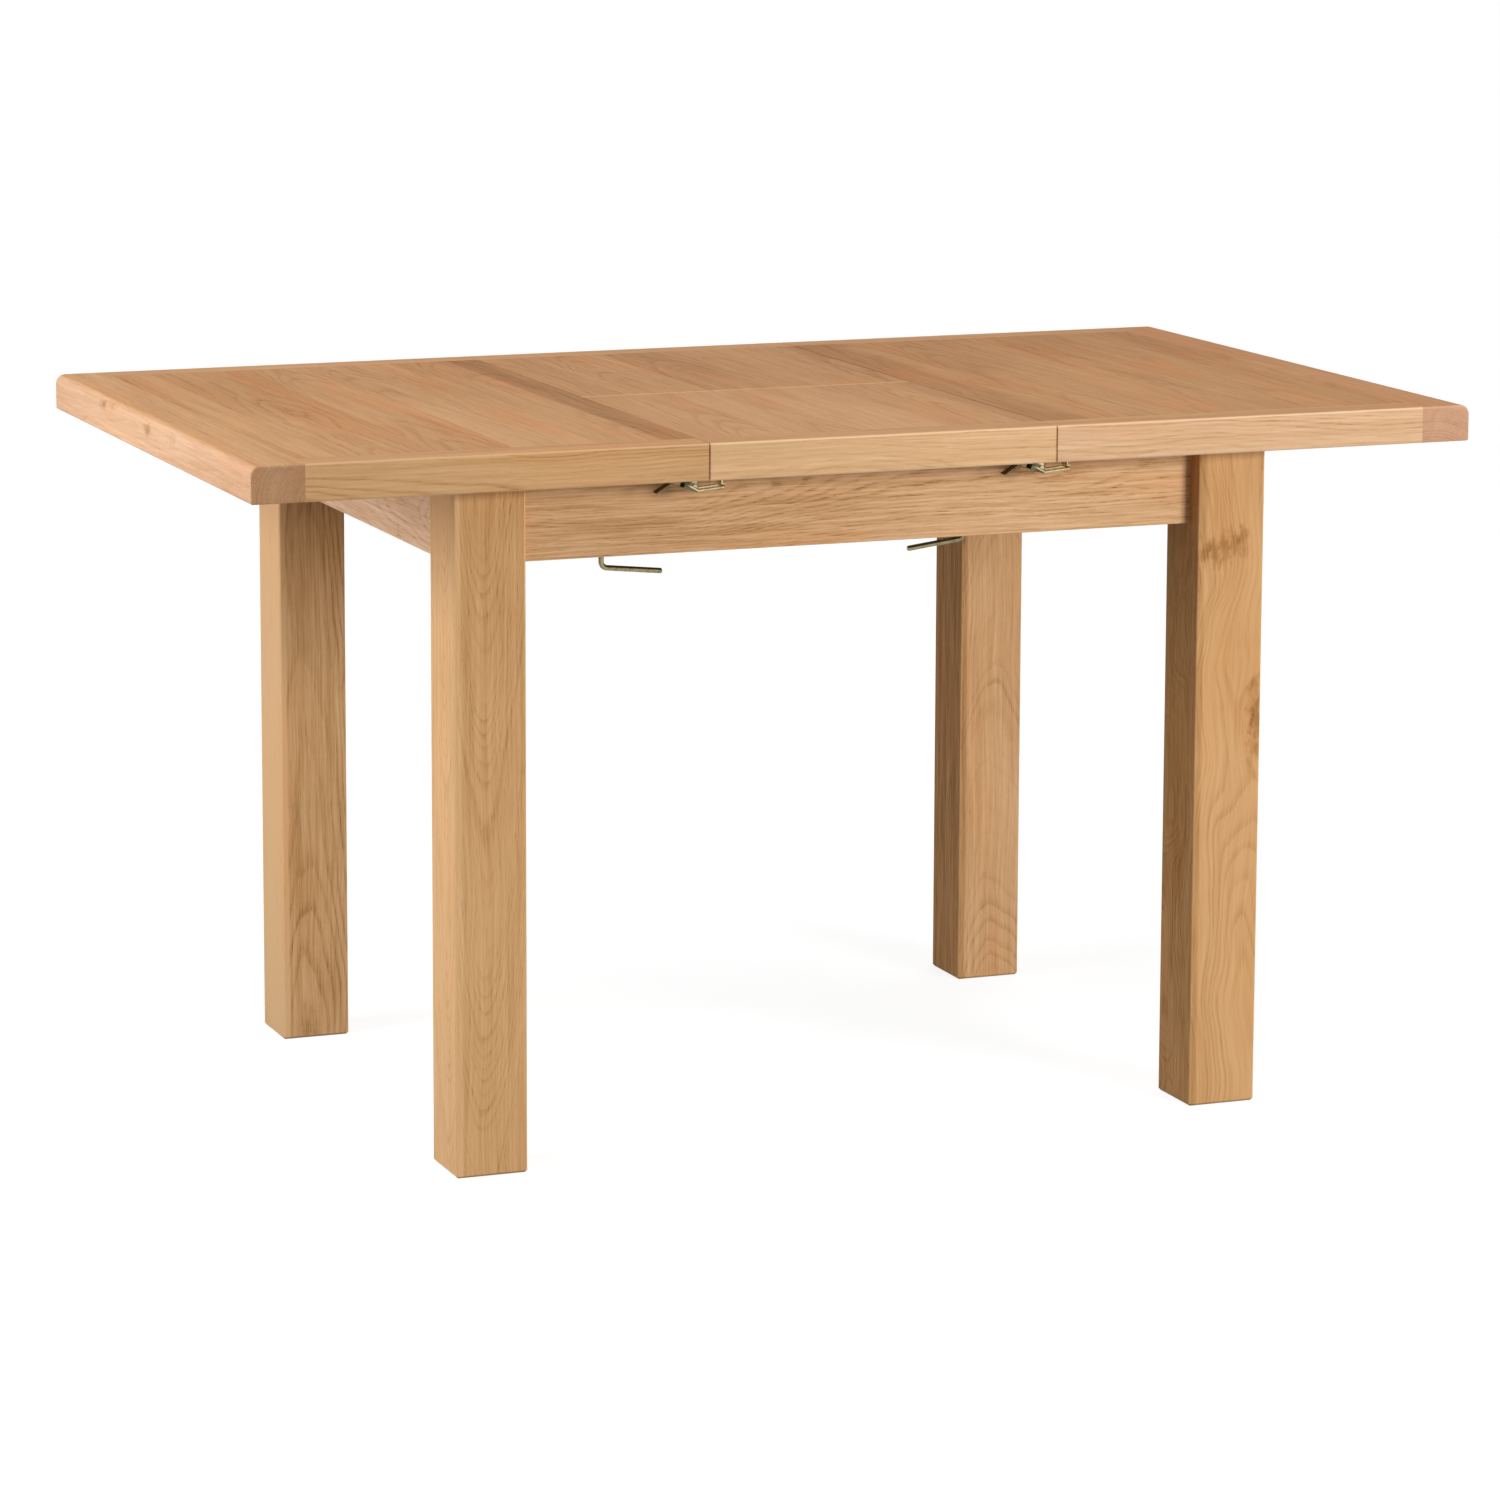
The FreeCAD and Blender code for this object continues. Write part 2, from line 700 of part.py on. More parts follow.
def pivot_arm():
    """Angle bracket under the leaf with the pivot pin welded through its ear."""
    foot_half = pivot_arm_width / 2
    foot = box(
        (arm_face - pivot_arm_length, arm_face),
        (pivot_y - foot_half, pivot_y + foot_half),
        (top_under - pivot_plate_thickness, top_under))
    ear_in = arm_face - pivot_plate_thickness
    ear_half = pivot_ear_width / 2
    ear_low = top_under - pivot_ear_drop
    ear = box((ear_in, arm_face), (pivot_y - ear_half, pivot_y + ear_half), (ear_low, top_under))
    ear = ear.makeFillet(pivot_ear_round, edges_where(
        ear, lambda b: b.YLength + b.ZLength < near and b.ZMax < pivot_z))
    pin_end = bearer_in - glue_gap
    pin = rod(pivot_pin_radius, vec(ear_in - past, pivot_y, pivot_z), vec(pin_end, pivot_y, pivot_z))
    return drill(fuse(foot, ear, pin), arm_screws(), small_screw)


# ---- lock bolts ----

def lock_bolt(place, degrees):
    """L-shaped bolt: its threaded end presses on the runner, its arm is the handle."""
    turn = math.radians(degrees)
    ahead = vec(math.cos(turn), math.sin(turn), 0)
    top = vec(place.x, place.y, bed_top + runner_fit - lock_tip_gap)
    bend_top = vec(place.x, place.y, lock_arm_z + lock_bend_radius)
    pivot = bend_top + ahead * lock_bend_radius
    swing = FreeCAD.Rotation(ahead.cross(vec(0, 0, 1)), 90 - lock_arm_slope)
    bend_end = pivot + swing.multVec(bend_top - pivot)
    end = bend_end + swing.multVec(vec(0, 0, -1)) * (lock_arm_length - lock_bend_radius)
    section = Part.Face(Part.Wire(Part.Circle(bend_top, vec(0, 0, 1), lock_rod_radius).toShape()))
    bend = section.revolve(pivot, swing.Axis, 90 - lock_arm_slope)
    upright = rod(lock_rod_radius, top, bend_top)
    arm = rod(lock_rod_radius, bend_end, end)
    bolt = fuse(upright, bend, arm)
    rims = [edge for edge in bolt.Edges
            if min(edge.CenterOfMass.distanceToPoint(tip) for tip in (top, end)) < near]
    return bolt.makeChamfer(lock_end_chamfer, rims)


def lock_insert(place):
    """Flanged threaded insert in the slide bed."""
    low = vec(place.x, place.y, bed_under)
    body = ringed([(insert_flange_radius, -insert_flange), (insert_flange_radius, 0)], low, vec(0, 0, 1))
    barrel = ringed([(insert_radius, 0), (insert_radius, bed_thickness)], low, vec(0, 0, 1))
    bore = rod(lock_rod_radius + running_fit, low - vec(0, 0, insert_flange), low + vec(0, 0, bed_thickness))
    return fuse(body, barrel).cut(bore)


def insert_hole(place):
    radius = insert_radius + hole_clearance
    low = vec(place.x, place.y, bed_under)
    return ringed([(radius, -past), (radius, bed_thickness + past)], low, vec(0, 0, 1))


# ---- toggle catches, described with the seam at X = 0 and the underside at Z = 0 ----

def at_seam(shape, seam_x):
    """A copy moved to its seam, on the catch line under the top."""
    copy = shape.copy()
    copy.translate(vec(seam_x, catch_y, top_under))
    return copy


def along_y(point, low, high, radius):
    """A round bar across the catch at an (X, Z) place."""
    return rod(radius, vec(point[0], low, point[1]), vec(point[0], high, point[1]))


def catch_base():
    """Plate with two ears that carry the lever's rivet."""
    plate = box((base_start, base_end), (-plate_half_width, plate_half_width), (-plate_sheet, 0))
    plate = plate.makeFillet(plate_round, edges_where(plate, lambda b: b.ZLength > near))
    x, z = lever_pivot
    ears = []
    for side in (-1, 1):
        span = (side * ear_inner, side * (ear_inner + ear_sheet))
        blade = box((x - ear_half_width, x + ear_half_width), span, (z, -plate_sheet / 2))
        ears.append(blade)
        ears.append(along_y(lever_pivot, min(span), max(span), ear_half_width))
    hole = along_y(lever_pivot, -plate_half_width, plate_half_width, rivet_radius + hole_clearance / 2)
    base = fuse(plate, *ears).cut(hole)
    return drill(base, catch_screws(base_screws), small_screw)


def catch_screws(places):
    return [(vec(x, 0, -plate_sheet), vec(0, 0, 1)) for x in places]


def catch_rivet():
    """Rivet through the ears and the lever's cheeks."""
    head_in = lever_half_width + hole_clearance
    head_out = head_in + rivet_head
    shank = along_y(lever_pivot, -head_out, head_out, rivet_radius)
    heads = [along_y(lever_pivot, side * head_in, side * head_out, rivet_head_radius) for side in (-1, 1)]
    return fuse(shank, *heads)


def strip_outline(line, sheet):
    """Outline of a bent strip of sheet whose middle follows a line in X and Z."""
    points = [vec(x, -lever_half_width, z) for x, z in line]
    low_side = []
    high_side = []
    for index, point in enumerate(points):
        before = point - points[index - 1] if index else points[1] - point
        after = points[index + 1] - point if index + 1 < len(points) else before
        normals = [vec(-way.z, 0, way.x).normalize() for way in (before, after)]
        miter = (normals[0] + normals[1]).normalize()
        reach = sheet / 2 / miter.dot(normals[0])
        high_side.append(point + miter * reach)
        low_side.append(point - miter * reach)
    return high_side + low_side[::-1]


def catch_lever():
    """Folded sheet lever with a thumb tab and two cheeks for its pivots."""
    web = prism(strip_outline(lever_line, lever_sheet), vec(0, 2 * lever_half_width, 0))
    bend_x = lever_line[1][0]
    web = web.makeFillet(lever_bend_round, edges_where(
        web, lambda b: b.YLength > lever_half_width and abs(b.XMin - bend_x) < 2 * lever_sheet))
    cheeks = []
    for side in (-1, 1):
        outline = [vec(x, side * lever_half_width, z) for x, z in lever_cheek]
        cheeks.append(prism(outline, vec(0, -side * lever_sheet, 0)))
    holes = [
        along_y(pivot, -plate_half_width, plate_half_width, radius + hole_clearance)
        for pivot, radius in ((lever_pivot, rivet_radius), (bail_pivot, bail_radius))]
    return fuse(web, *cheeks).cut(holes)


def eased_line(points, bend):
    """A line of straight runs whose corners are cut into short runs round a bend."""
    line = [points[0]]
    for before, corner, after in zip(points, points[1:], points[2:]):
        back = (before - corner).normalize()
        ahead = (after - corner).normalize()
        half_open = back.getAngle(ahead) / 2
        turn = 180 - 2 * math.degrees(half_open)
        count = math.ceil(turn / wire_bend_step)
        centre = corner + (back + ahead).normalize() * (bend / math.sin(half_open))
        half_step = turn / count / 2
        spoke = (corner + back * (bend / math.tan(half_open)) - centre) / math.cos(math.radians(half_step))
        for index in range(count):
            swing = FreeCAD.Rotation(ahead.cross(back), (2 * index + 1) * half_step)
            line.append(centre + swing.multVec(spoke))
    return line + [points[-1]]


def catch_bail():
    """Wire bail whose bent ends turn in the lever and whose bar goes behind the keeper."""
    points = [
        vec(bail_pivot[0], bail_end, bail_pivot[1]),
        vec(bail_pivot[0], bail_half_width, bail_pivot[1]),
        vec(bail_bend[0], bail_half_width, bail_bend[1]),
        vec(bail_bar[0], bail_half_width, bail_bar[1])]
    mirrored = [vec(point.x, -point.y, point.z) for point in points]
    line = eased_line(points + mirrored[::-1], bail_corner)
    section = Part.Circle(line[0], line[1] - line[0], bail_radius).toShape()
    path = Part.Wire(Part.makePolygon(line).Edges)
    return path.makePipeShell([Part.Wire([section])], True, False, mitred)


def catch_keeper():
    """Plate with a curled lip for the bail's bar."""
    plate = box((keeper_start, keeper_end), (-plate_half_width, plate_half_width), (-plate_sheet, 0))
    plate = plate.makeFillet(plate_round, edges_where(
        plate, lambda b: b.ZLength > near and b.XMin > keeper_end - near))
    width = (-keeper_lip_half_width, keeper_lip_half_width)
    lip = box((keeper_start, keeper_start + plate_sheet), width, (-keeper_lip, 0))
    curl_end = keeper_start + plate_sheet + keeper_curl
    curl = box((keeper_start, curl_end), width, (-keeper_lip, -keeper_lip + ear_sheet))
    keeper = fuse(plate, lip, curl)
    keeper = keeper.makeFillet(keeper_curl_round, edges_where(
        keeper, lambda b: b.YLength > keeper_lip_half_width and b.ZMax < -keeper_lip + near))
    return drill(keeper, catch_screws(keeper_screws), small_screw)


# ---- assembly ----

def frame_nodes():
    corners = {"front_left": (-1, -1), "front_right": (1, -1), "rear_left": (-1, 1), "rear_right": (1, 1)}
    nodes = {name + "_leg": reflected(leg(), *sides) for name, sides in corners.items()}
    fixings = {"corner_blocks": corner_block, "leg_bolts": hanger_bolt, "leg_nuts": flange_nut}
    for name, build in fixings.items():
        nodes[name] = Part.makeCompound([reflected(build(), *sides) for sides in corners.values()])
    nodes["rear_rail"] = long_rail()
    nodes["front_rail"] = turned(nodes["rear_rail"])
    nodes["right_rail"] = end_rail()
    nodes["left_rail"] = turned(nodes["right_rail"])
    nodes["right_bearer"] = bearer()
    nodes["left_bearer"] = nodes["right_bearer"].mirror(vec(0, 0, 0), vec(1, 0, 0))
    nodes["rear_slide_bed"] = slide_bed()
    front_bed = turned(nodes["rear_slide_bed"])
    locks = lock_places().values()
    nodes["front_slide_bed"] = front_bed.cut([insert_hole(place) for place in locks])
    nodes["lock_inserts"] = Part.makeCompound([lock_insert(place) for place in locks])
    for name, piece in guides().items():
        nodes["rear_" + name + "_guide"] = piece
        nodes["front_" + name + "_guide"] = turned(piece)
    shared = [screw(frame_screw, head, way) for head, way in block_screws()]
    quarter = [reflected(item, *sides) for sides in corners.values() for item in shared]
    upright = [screw(frame_screw, head, way) for head, way in bearer_screws() + guide_screws()]
    nodes["frame_screws"] = Part.makeCompound(quarter + upright + [turned(item) for item in upright])
    return nodes


def leaf_nodes():
    panel, edge = leaf_half_pieces()
    front_panel = panel.mirror(vec(0, 0, 0), vec(0, 1, 0))
    front_edge = edge.mirror(vec(0, 0, 0), vec(0, 1, 0))
    cups = [hinge_cup(x) for x in hinge_places()]
    front_cups = [cup.mirror(vec(0, 0, 0), vec(0, 1, 0)) for cup in cups]
    linked = [fuse(cup, hinge_link(x)) for cup, x in zip(front_cups, hinge_places())]
    plate = pivot_plate()
    arm = pivot_arm()
    both_arms = arm_screws() + reflected_screws(arm_screws(), -1, 1)
    both_plates = plate_screws() + reflected_screws(plate_screws(), -1, 1)
    front_panel = drill(front_panel, both_arms, small_screw)
    keeper_heads = moved_screws(keeper_screws, -half_leaf)
    base_heads = moved_screws(base_screws, half_leaf)
    front_edge = drill(front_edge, keeper_heads + base_heads, small_screw)
    return {
        "leaf_front_panel": front_panel,
        "leaf_front_edge": front_edge,
        "leaf_rear_panel": panel,
        "leaf_rear_edge": edge,
        "front_hinge_cups": Part.makeCompound(linked),
        "rear_hinge_cups": Part.makeCompound(cups),
        "pivot_plates": Part.makeCompound([plate, reflected(plate, -1, 1)]),
        "pivot_arms": Part.makeCompound([arm, reflected(arm, -1, 1)]),
        "leaf_screws": screw_group(both_arms + both_plates + keeper_heads + base_heads, small_screw)}


def moved_screws(places, seam_x):
    shift = vec(seam_x, catch_y, top_under)
    return [(head + shift, way) for head, way in catch_screws(places)]


def end_top_nodes():
    end_board, panel, front, rear = end_top_pieces()
    panel = drill(panel, left_runner_screws, runner_screw)
    outer_runner = runner(outer_runner_end, -outer_lane, outer_runner_screws)
    inner_runner = runner(inner_runner_end, inner_lane, inner_runner_screws)
    left_heads = moved_screws(base_screws, -half_leaf)
    right_heads = moved_screws(keeper_screws, half_leaf)
    runner_set = screw_group(left_runner_screws, runner_screw)
    return {
        "left_end_board": end_board,
        "left_panel": panel,
        "left_front_edge": drill(front, left_heads, small_screw),
        "left_rear_edge": rear,
        "left_front_runner": outer_runner,
        "left_rear_runner": inner_runner,
        "left_runner_screws": runner_set,
        "left_catch_screws": screw_group(left_heads, small_screw),
        "right_end_board": turned(end_board),
        "right_panel": turned(panel),
        "right_front_edge": drill(turned(rear), right_heads, small_screw),
        "right_rear_edge": turned(front),
        "right_front_runner": turned(inner_runner),
        "right_rear_runner": turned(outer_runner),
        "right_runner_screws": turned(runner_set),
        "right_keeper_screws": screw_group(right_heads, small_screw)}


def hardware_nodes():
    nodes = {}
    for side, seam_x in (("left", -half_leaf), ("right", half_leaf)):
        nodes[side + "_catch_base"] = at_seam(catch_base(), seam_x)
        nodes[side + "_catch_rivet"] = at_seam(catch_rivet(), seam_x)
        nodes[side + "_catch_lever"] = at_seam(catch_lever(), seam_x)
        nodes[side + "_catch_bail"] = at_seam(catch_bail(), seam_x)
        nodes[side + "_catch_keeper"] = at_seam(catch_keeper(), seam_x)
    places = lock_places()
    nodes["left_lock_bolt"] = lock_bolt(places["left"], lock_left_turn)
    nodes["right_lock_bolt"] = lock_bolt(places["right"], lock_right_turn)
    return nodes


def main():
    os.makedirs("parts", exist_ok=True)
    nodes = {}
    for group in (frame_nodes(), leaf_nodes(), end_top_nodes(), hardware_nodes()):
        nodes.update(group)
    for name, shape in nodes.items():
        shape.exportStep("parts/" + name + ".step")
        print(name, len(shape.Solids), "valid" if shape.isValid() else "NOT VALID")


main()
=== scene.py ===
"""Butterfly extending table in satin oak: finishes, end boards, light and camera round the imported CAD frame."""

import math
from collections import namedtuple

import bmesh
import bpy
from mathutils import Matrix, Vector


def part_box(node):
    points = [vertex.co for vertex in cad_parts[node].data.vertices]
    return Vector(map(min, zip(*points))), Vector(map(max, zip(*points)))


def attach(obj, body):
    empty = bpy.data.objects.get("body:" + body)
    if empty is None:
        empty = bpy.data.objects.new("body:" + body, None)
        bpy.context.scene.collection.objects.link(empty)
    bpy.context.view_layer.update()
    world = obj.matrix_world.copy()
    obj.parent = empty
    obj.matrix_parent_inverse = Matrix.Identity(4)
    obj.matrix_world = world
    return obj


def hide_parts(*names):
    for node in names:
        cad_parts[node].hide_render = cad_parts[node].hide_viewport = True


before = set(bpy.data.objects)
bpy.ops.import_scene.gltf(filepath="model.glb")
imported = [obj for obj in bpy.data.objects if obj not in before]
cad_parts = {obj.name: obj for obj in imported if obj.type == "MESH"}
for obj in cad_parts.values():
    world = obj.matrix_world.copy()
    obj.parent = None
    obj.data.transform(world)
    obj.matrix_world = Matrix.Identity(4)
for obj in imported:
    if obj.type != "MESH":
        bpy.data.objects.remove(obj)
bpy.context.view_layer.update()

# ---------------------------------------------------------------- camera
CAMERA_PLACE = Vector((-2.219029, -5.631442, 1.558012))
CAMERA_YAW = math.radians(20.459)
CAMERA_PITCH = math.radians(9.038)
CAMERA_ROLL = math.radians(0.043)
FOCAL_PIXELS = 5401.558
FRAME_PIXELS = 1500
SENSOR = 36.0
SHIFT = (0.067, -0.133)

# ---------------------------------------------------------------- light
WHITE = (1.0, 1.0, 1.0, 1.0)
WORLD_LIGHT = 0.18
FLOOR_GLOW = 0.855                  # what is seen of the floor by itself
FLOOR_TONE = 0.25                   # its tone in the light on it, and so the strength of the shadow
FLOOR_HALF = 60.0
TOP_LIGHT = 0.30
TOP_SOURCE = (-0.35, -0.25, 0.9)
BACK_LIGHT = 0.42
BACK_SOURCE = (0.6, 0.7, 0.30)
SOFTNESS = 50.0                     # width of a sun in degrees
LEFT_POWER = 24.0
LEFT_TINT = (0.98, 1.0, 1.04)
LEFT_PLACE = (-2.0, 0.05, 1.0)
LEFT_TARGET = (-0.6, 0.0, 0.5)
LEFT_SIZE = 1.1
FRONT_POWER = 150.0
FRONT_TINT = (1.0, 1.0, 1.0)
FRONT_PLACE = (2.05, -4.23, 1.5)
FRONT_TARGET = (0.0, -0.36, 0.5)
FRONT_SIZE = 1.5

# ---------------------------------------------------------------- finishes, as the eye sees them (8-bit sRGB)
PANEL_TONE = (206, 155, 107)
RIGHT_PANEL_TONE = (199, 147, 97)
# edge strips and end boards: these tones colour their sides, paler than their tops as painted light; their tops take a
# top tone
EDGE_TONE = (219, 177, 131)
LEFT_EDGE_TONE = (203, 159, 111)
RIGHT_EDGE_TONE = (218, 177, 137)
LEFT_END_TONE = (198, 156, 120)
RIGHT_END_TONE = (209, 163, 132)
RIGHT_END_TOP_TONE = (201, 144, 96)
FRONT_LEG_TONE = (209, 161, 109)
REAR_LEFT_LEG_TONE = (200, 156, 107)
REAR_RIGHT_LEG_TONE = (218, 170, 121)
RAIL_TONE = (213, 168, 122)
SIDE_RAIL_TONE = (228, 187, 150)
INNER_TONE = (198, 153, 106)
BEECH_TONE = (214, 180, 140)

# plated steel: its clean tone and its dull tone
YELLOW_ZINC = ((218, 207, 165), (176, 163, 120))
# the levers' plating painted darker: painted shade for the shadow they sit in
LEVER_SHADE_ZINC = ((112, 104, 78), (84, 78, 56))
OLIVE_ZINC = ((152, 143, 109), (118, 110, 80))
BRIGHT_ZINC = ((206, 206, 200), (140, 138, 132))
PLAIN_STEEL = ((190, 190, 188), (120, 118, 114))


def linear(tone):
    """An 8-bit sRGB colour as the linear colour that a shader takes."""
    shares = [c / 255 for c in tone]
    return tuple(c / 12.92 if c <= 0.04045 else ((c + 0.055) / 1.055) ** 2.4 for c in shares) + (1.0,)


def shaded(colour, factors):
    """A linear colour with each channel multiplied."""
    return tuple(min(1.0, c * f) for c, f in zip(colour, factors)) + (1.0,)


class Graph:
    """The node tree of a material or a world, built one step at a time."""

    def __init__(self, owner):
        owner.use_nodes = True
        self.owner = owner
        self.nodes = owner.node_tree.nodes
        self.links = owner.node_tree.links
        self.nodes.clear()

    def feed(self, socket, value):
        """Links a socket to another one, or sets it to a plain value."""
        if isinstance(value, bpy.types.NodeSocket):
            self.links.new(value, socket)
        else:
            socket.default_value = value

    def add(self, kind, inputs=None, **settings):
        """A new node with its settings and what goes into it."""
        node = self.nodes.new(kind)
        for key, value in settings.items():
            setattr(node, key, value)
        for key, value in (inputs or {}).items():
            self.feed(node.inputs[key], value)
        return node

    def math(self, operation, *values):
        node = self.add("ShaderNodeMath", operation=operation)
        for socket, value in zip(node.inputs, values):
            self.feed(socket, value)
        return node.outputs[0]

    def times(self, first, second):
        return self.math("MULTIPLY", first, second)

    def total(self, *values):
        result = values[0]
        for value in values[1:]:
            result = self.math("ADD", result, value)
        return result

    def scaled(self, value, factor, centre=0.0):
        """The value less its centre, times the factor."""
        return self.times(self.math("SUBTRACT", value, centre), factor)

    def join(self, x, y, z):
        return self.add("ShaderNodeCombineXYZ", {"X": x, "Y": y, "Z": z}).outputs[0]

    def split(self, vector):
        return self.add("ShaderNodeSeparateXYZ", {0: vector}).outputs

    def stretched(self, coordinates, scales):
        """A place with each of its coordinates scaled."""
        return self.join(*(self.scaled(value, scale) for value, scale in zip(coordinates, scales)))

    def noise(self, vector, detail=2.0, roughness=0.5):
        node = self.add("ShaderNodeTexNoise", {
            "Vector": vector, "Scale": 1.0, "Detail": detail, "Roughness": roughness,
        })
        return node.outputs[0]

    def ease(self, value, start, end, low=0.0, high=1.0):
        """A smooth step from low at the start to high at the end."""
        node = self.add("ShaderNodeMapRange", {
            "Value": value, "From Min": start, "From Max": end, "To Min": low, "To Max": high,
        }, interpolation_type="SMOOTHSTEP")
        return node.outputs[0]

    def ramp(self, value, stops):
        """A colour for each value, from stops of a place and a colour."""
        node = self.add("ShaderNodeValToRGB", {"Fac": value})
        elements = node.color_ramp.elements
        while len(elements) < len(stops):
            elements.new(0.5)
        for element, (place, colour) in zip(elements, stops):
            element.position = place
            element.color = colour
        return node.outputs[0]

    def mix(self, factor, first, second, blend="MIX"):
        """Two colours mixed; the numbers are the Mix node's sockets for its factor and its two colours."""
        node = self.add("ShaderNodeMix", data_type="RGBA", blend_type=blend)
        for index, value in ((0, factor), (6, first), (7, second)):
            self.feed(node.inputs[index], value)
        return node.outputs[2]

    def seen(self):
        """1 for rays from the camera and for those in reflections or through glass, else 0."""
        paths = self.add("ShaderNodeLightPath").outputs
        reflected = self.math("MAXIMUM", paths["Is Glossy Ray"], paths["Is Transmission Ray"])
        return self.math("MAXIMUM", paths["Is Camera Ray"], reflected)

    def finish(self, shader, output_kind="ShaderNodeOutputMaterial"):
        output = self.add(output_kind)
        self.links.new(shader.outputs[0], output.inputs["Surface"])
        return self.owner


# ---------------------------------------------------------------- the wood texture
Waves = namedtuple("Waves", "across along detail roughness shift", defaults=(2.0, 0.5, 0.0))
Stripe = namedtuple("Stripe", "axis middle half_width amount")      # the amount is a depth of colour; below 0 is paler
Knot = namedtuple("Knot", "x y z radius amount")

AXES = {"X": (1, 2, 0), "Y": (0, 2, 1), "Z": (0, 1, 2)}     # across, through and along the grain
X, Y = 0, 1

# the lacquer
SATIN = 0.55                        # its roughness, and what streaks, dashes and end grain add to it
STREAK_ROUGH = 0.10
DASH_ROUGH = 0.12
END_ROUGH = 0.10
GLOSS = 0.015                       # its specular level: nearly matt

# colours, as shares of the plain tone, and their places between the palest wood and the darkest
PALEST = (1.24, 1.35, 1.56)
DARK = (0.70, 0.63, 0.54)
DARKEST = (0.40, 0.32, 0.25)
RUDDY = (1.04, 0.92, 0.84, 1.0)
DEPTHS = (0.0, 0.33, 0.66, 1.0)
PLAIN_DEPTH = 0.30

# noise, in cycles to the metre across and along the grain; FORCE and BROAD_BANDS run outward from the pith
BEND = Waves(9.0, 5.5, detail=1.5)
WIDE_WAVES = Waves(5.0, 1.6, detail=1.5)
CLOSE_WAVES = Waves(30.0, 7.0)
FIBRES = Waves(330.0, 7.0, detail=3.0, roughness=0.68)
DASHES = Waves(900.0, 42.0, detail=1.5)
PORES = Waves(1900.0, 130.0, detail=1.0)
STREAKS = Waves(130.0, 4.0, detail=3.0, roughness=0.6)
CLOUDS = Waves(12.0, 3.0, detail=3.0, roughness=0.55)
RUDDY_PATCHES = Waves(16.0, 3.3, shift=9.0)
FORCE = Waves(130.0, 2.0, detail=1.0, shift=3.0)
BROAD_BANDS = Waves(60.0, 1.1, detail=1.5, shift=5.0)
RAY_SCALES = (70.0, 14.0, 60.0)     # round the pith, outward from it and along the grain
RAY_DETAIL = 1.5

# growth layers
CLOSE_WANDER = 0.0040               # metres that the close waves shift a layer
PACE_SCALE = 95.0                   # how often the layers get wider and closer, in cycles to the metre
PACE_DETAIL = 1.0
PACE_SWING = 3.2                    # by how many layers
DARKENED = 0.12                     # share of a layer by which it is darkest
FADED = 0.60                        # share by which it is plain again
WEAKEST_LAYER = 0.15

# where a smooth step starts and ends: for parts of a normal, then for values of a noise
END_FACING = (0.55, 0.90)
ARRIS_FACING = (0.86, 0.99)
UP_FACING = (0.70, 0.99)
FORCE_STEP = (0.36, 0.66)
DASH_STEP = (0.53, 0.68)
PORE_STEP = (0.54, 0.68)
RAY_STEP = (0.58, 0.72)
RUDDY_STEP = (0.45, 0.75)

# glued boards
BOARD_UNEVENNESS = 0.35
BOARD_CONTRAST = 0.13
BOARD_SHIFT = (0.07, 0.08, 7.0)     # metres from one board's place in the tree to another's
JOINT_WIDTH = 0.0010
JOINT_DEPTH = 0.08

# strength of a mark in plain wood, and what a growth layer or a streak adds to it
DASH_PLAIN, DASH_IN_LAYER = 0.28, 0.9
PORE_PLAIN, PORE_IN_LAYER = 0.4, 0.6
STRIPE_PLAIN, STRIPE_IN_STREAK = 0.55, 0.9
END_FIBRES = 0.3                    # share of the fibres that end grain shows

# depth of colour that each feature adds
LAYER_MEAN = 0.28                   # taken off the layers, so that they keep the plain tone
BROAD_SHARE = 1.4                   # of the layers' own depth
FIBRE_DEPTH = 0.95
STREAK_DEPTH = 0.22
CLOUD_DEPTH = 0.34
DASH_DEPTH = 0.26
PORE_DEPTH = 0.15
RAY_DEPTH = -0.06

# relief
DASH_HEIGHT = -0.6
PORE_HEIGHT = -0.5
LAYER_HEIGHT = -0.2
FIBRE_HEIGHT = 0.4
GRAIN_BUMP = {"Strength": 0.16, "Distance": 0.0005}

# stripes, in half widths
STRIPE_WAVER = 0.45
STRIPE_CORE = 0.55

# knots; the last four in radii
KNOT_STRETCH = (1.0, 1.0, 0.4)      # drawn out along the grain
KNOT_OUTLINE = (140.0, 140.0, 90.0)     # its raggedness, in cycles to the metre
KNOT_DETAIL = 3.0
KNOT_WOBBLE = 2.4
KNOT_FADE = (0.1, 1.3)
KNOT_REACH = 7.0
KNOT_PUSH = 1.2


def oak_colours(tone):
    """The colours from the palest to the darkest wood of a board, round its plain tone."""
    base = linear(tone)
    return tuple(zip(DEPTHS, (shaded(base, PALEST), base, shaded(base, DARK), shaded(base, DARKEST))))


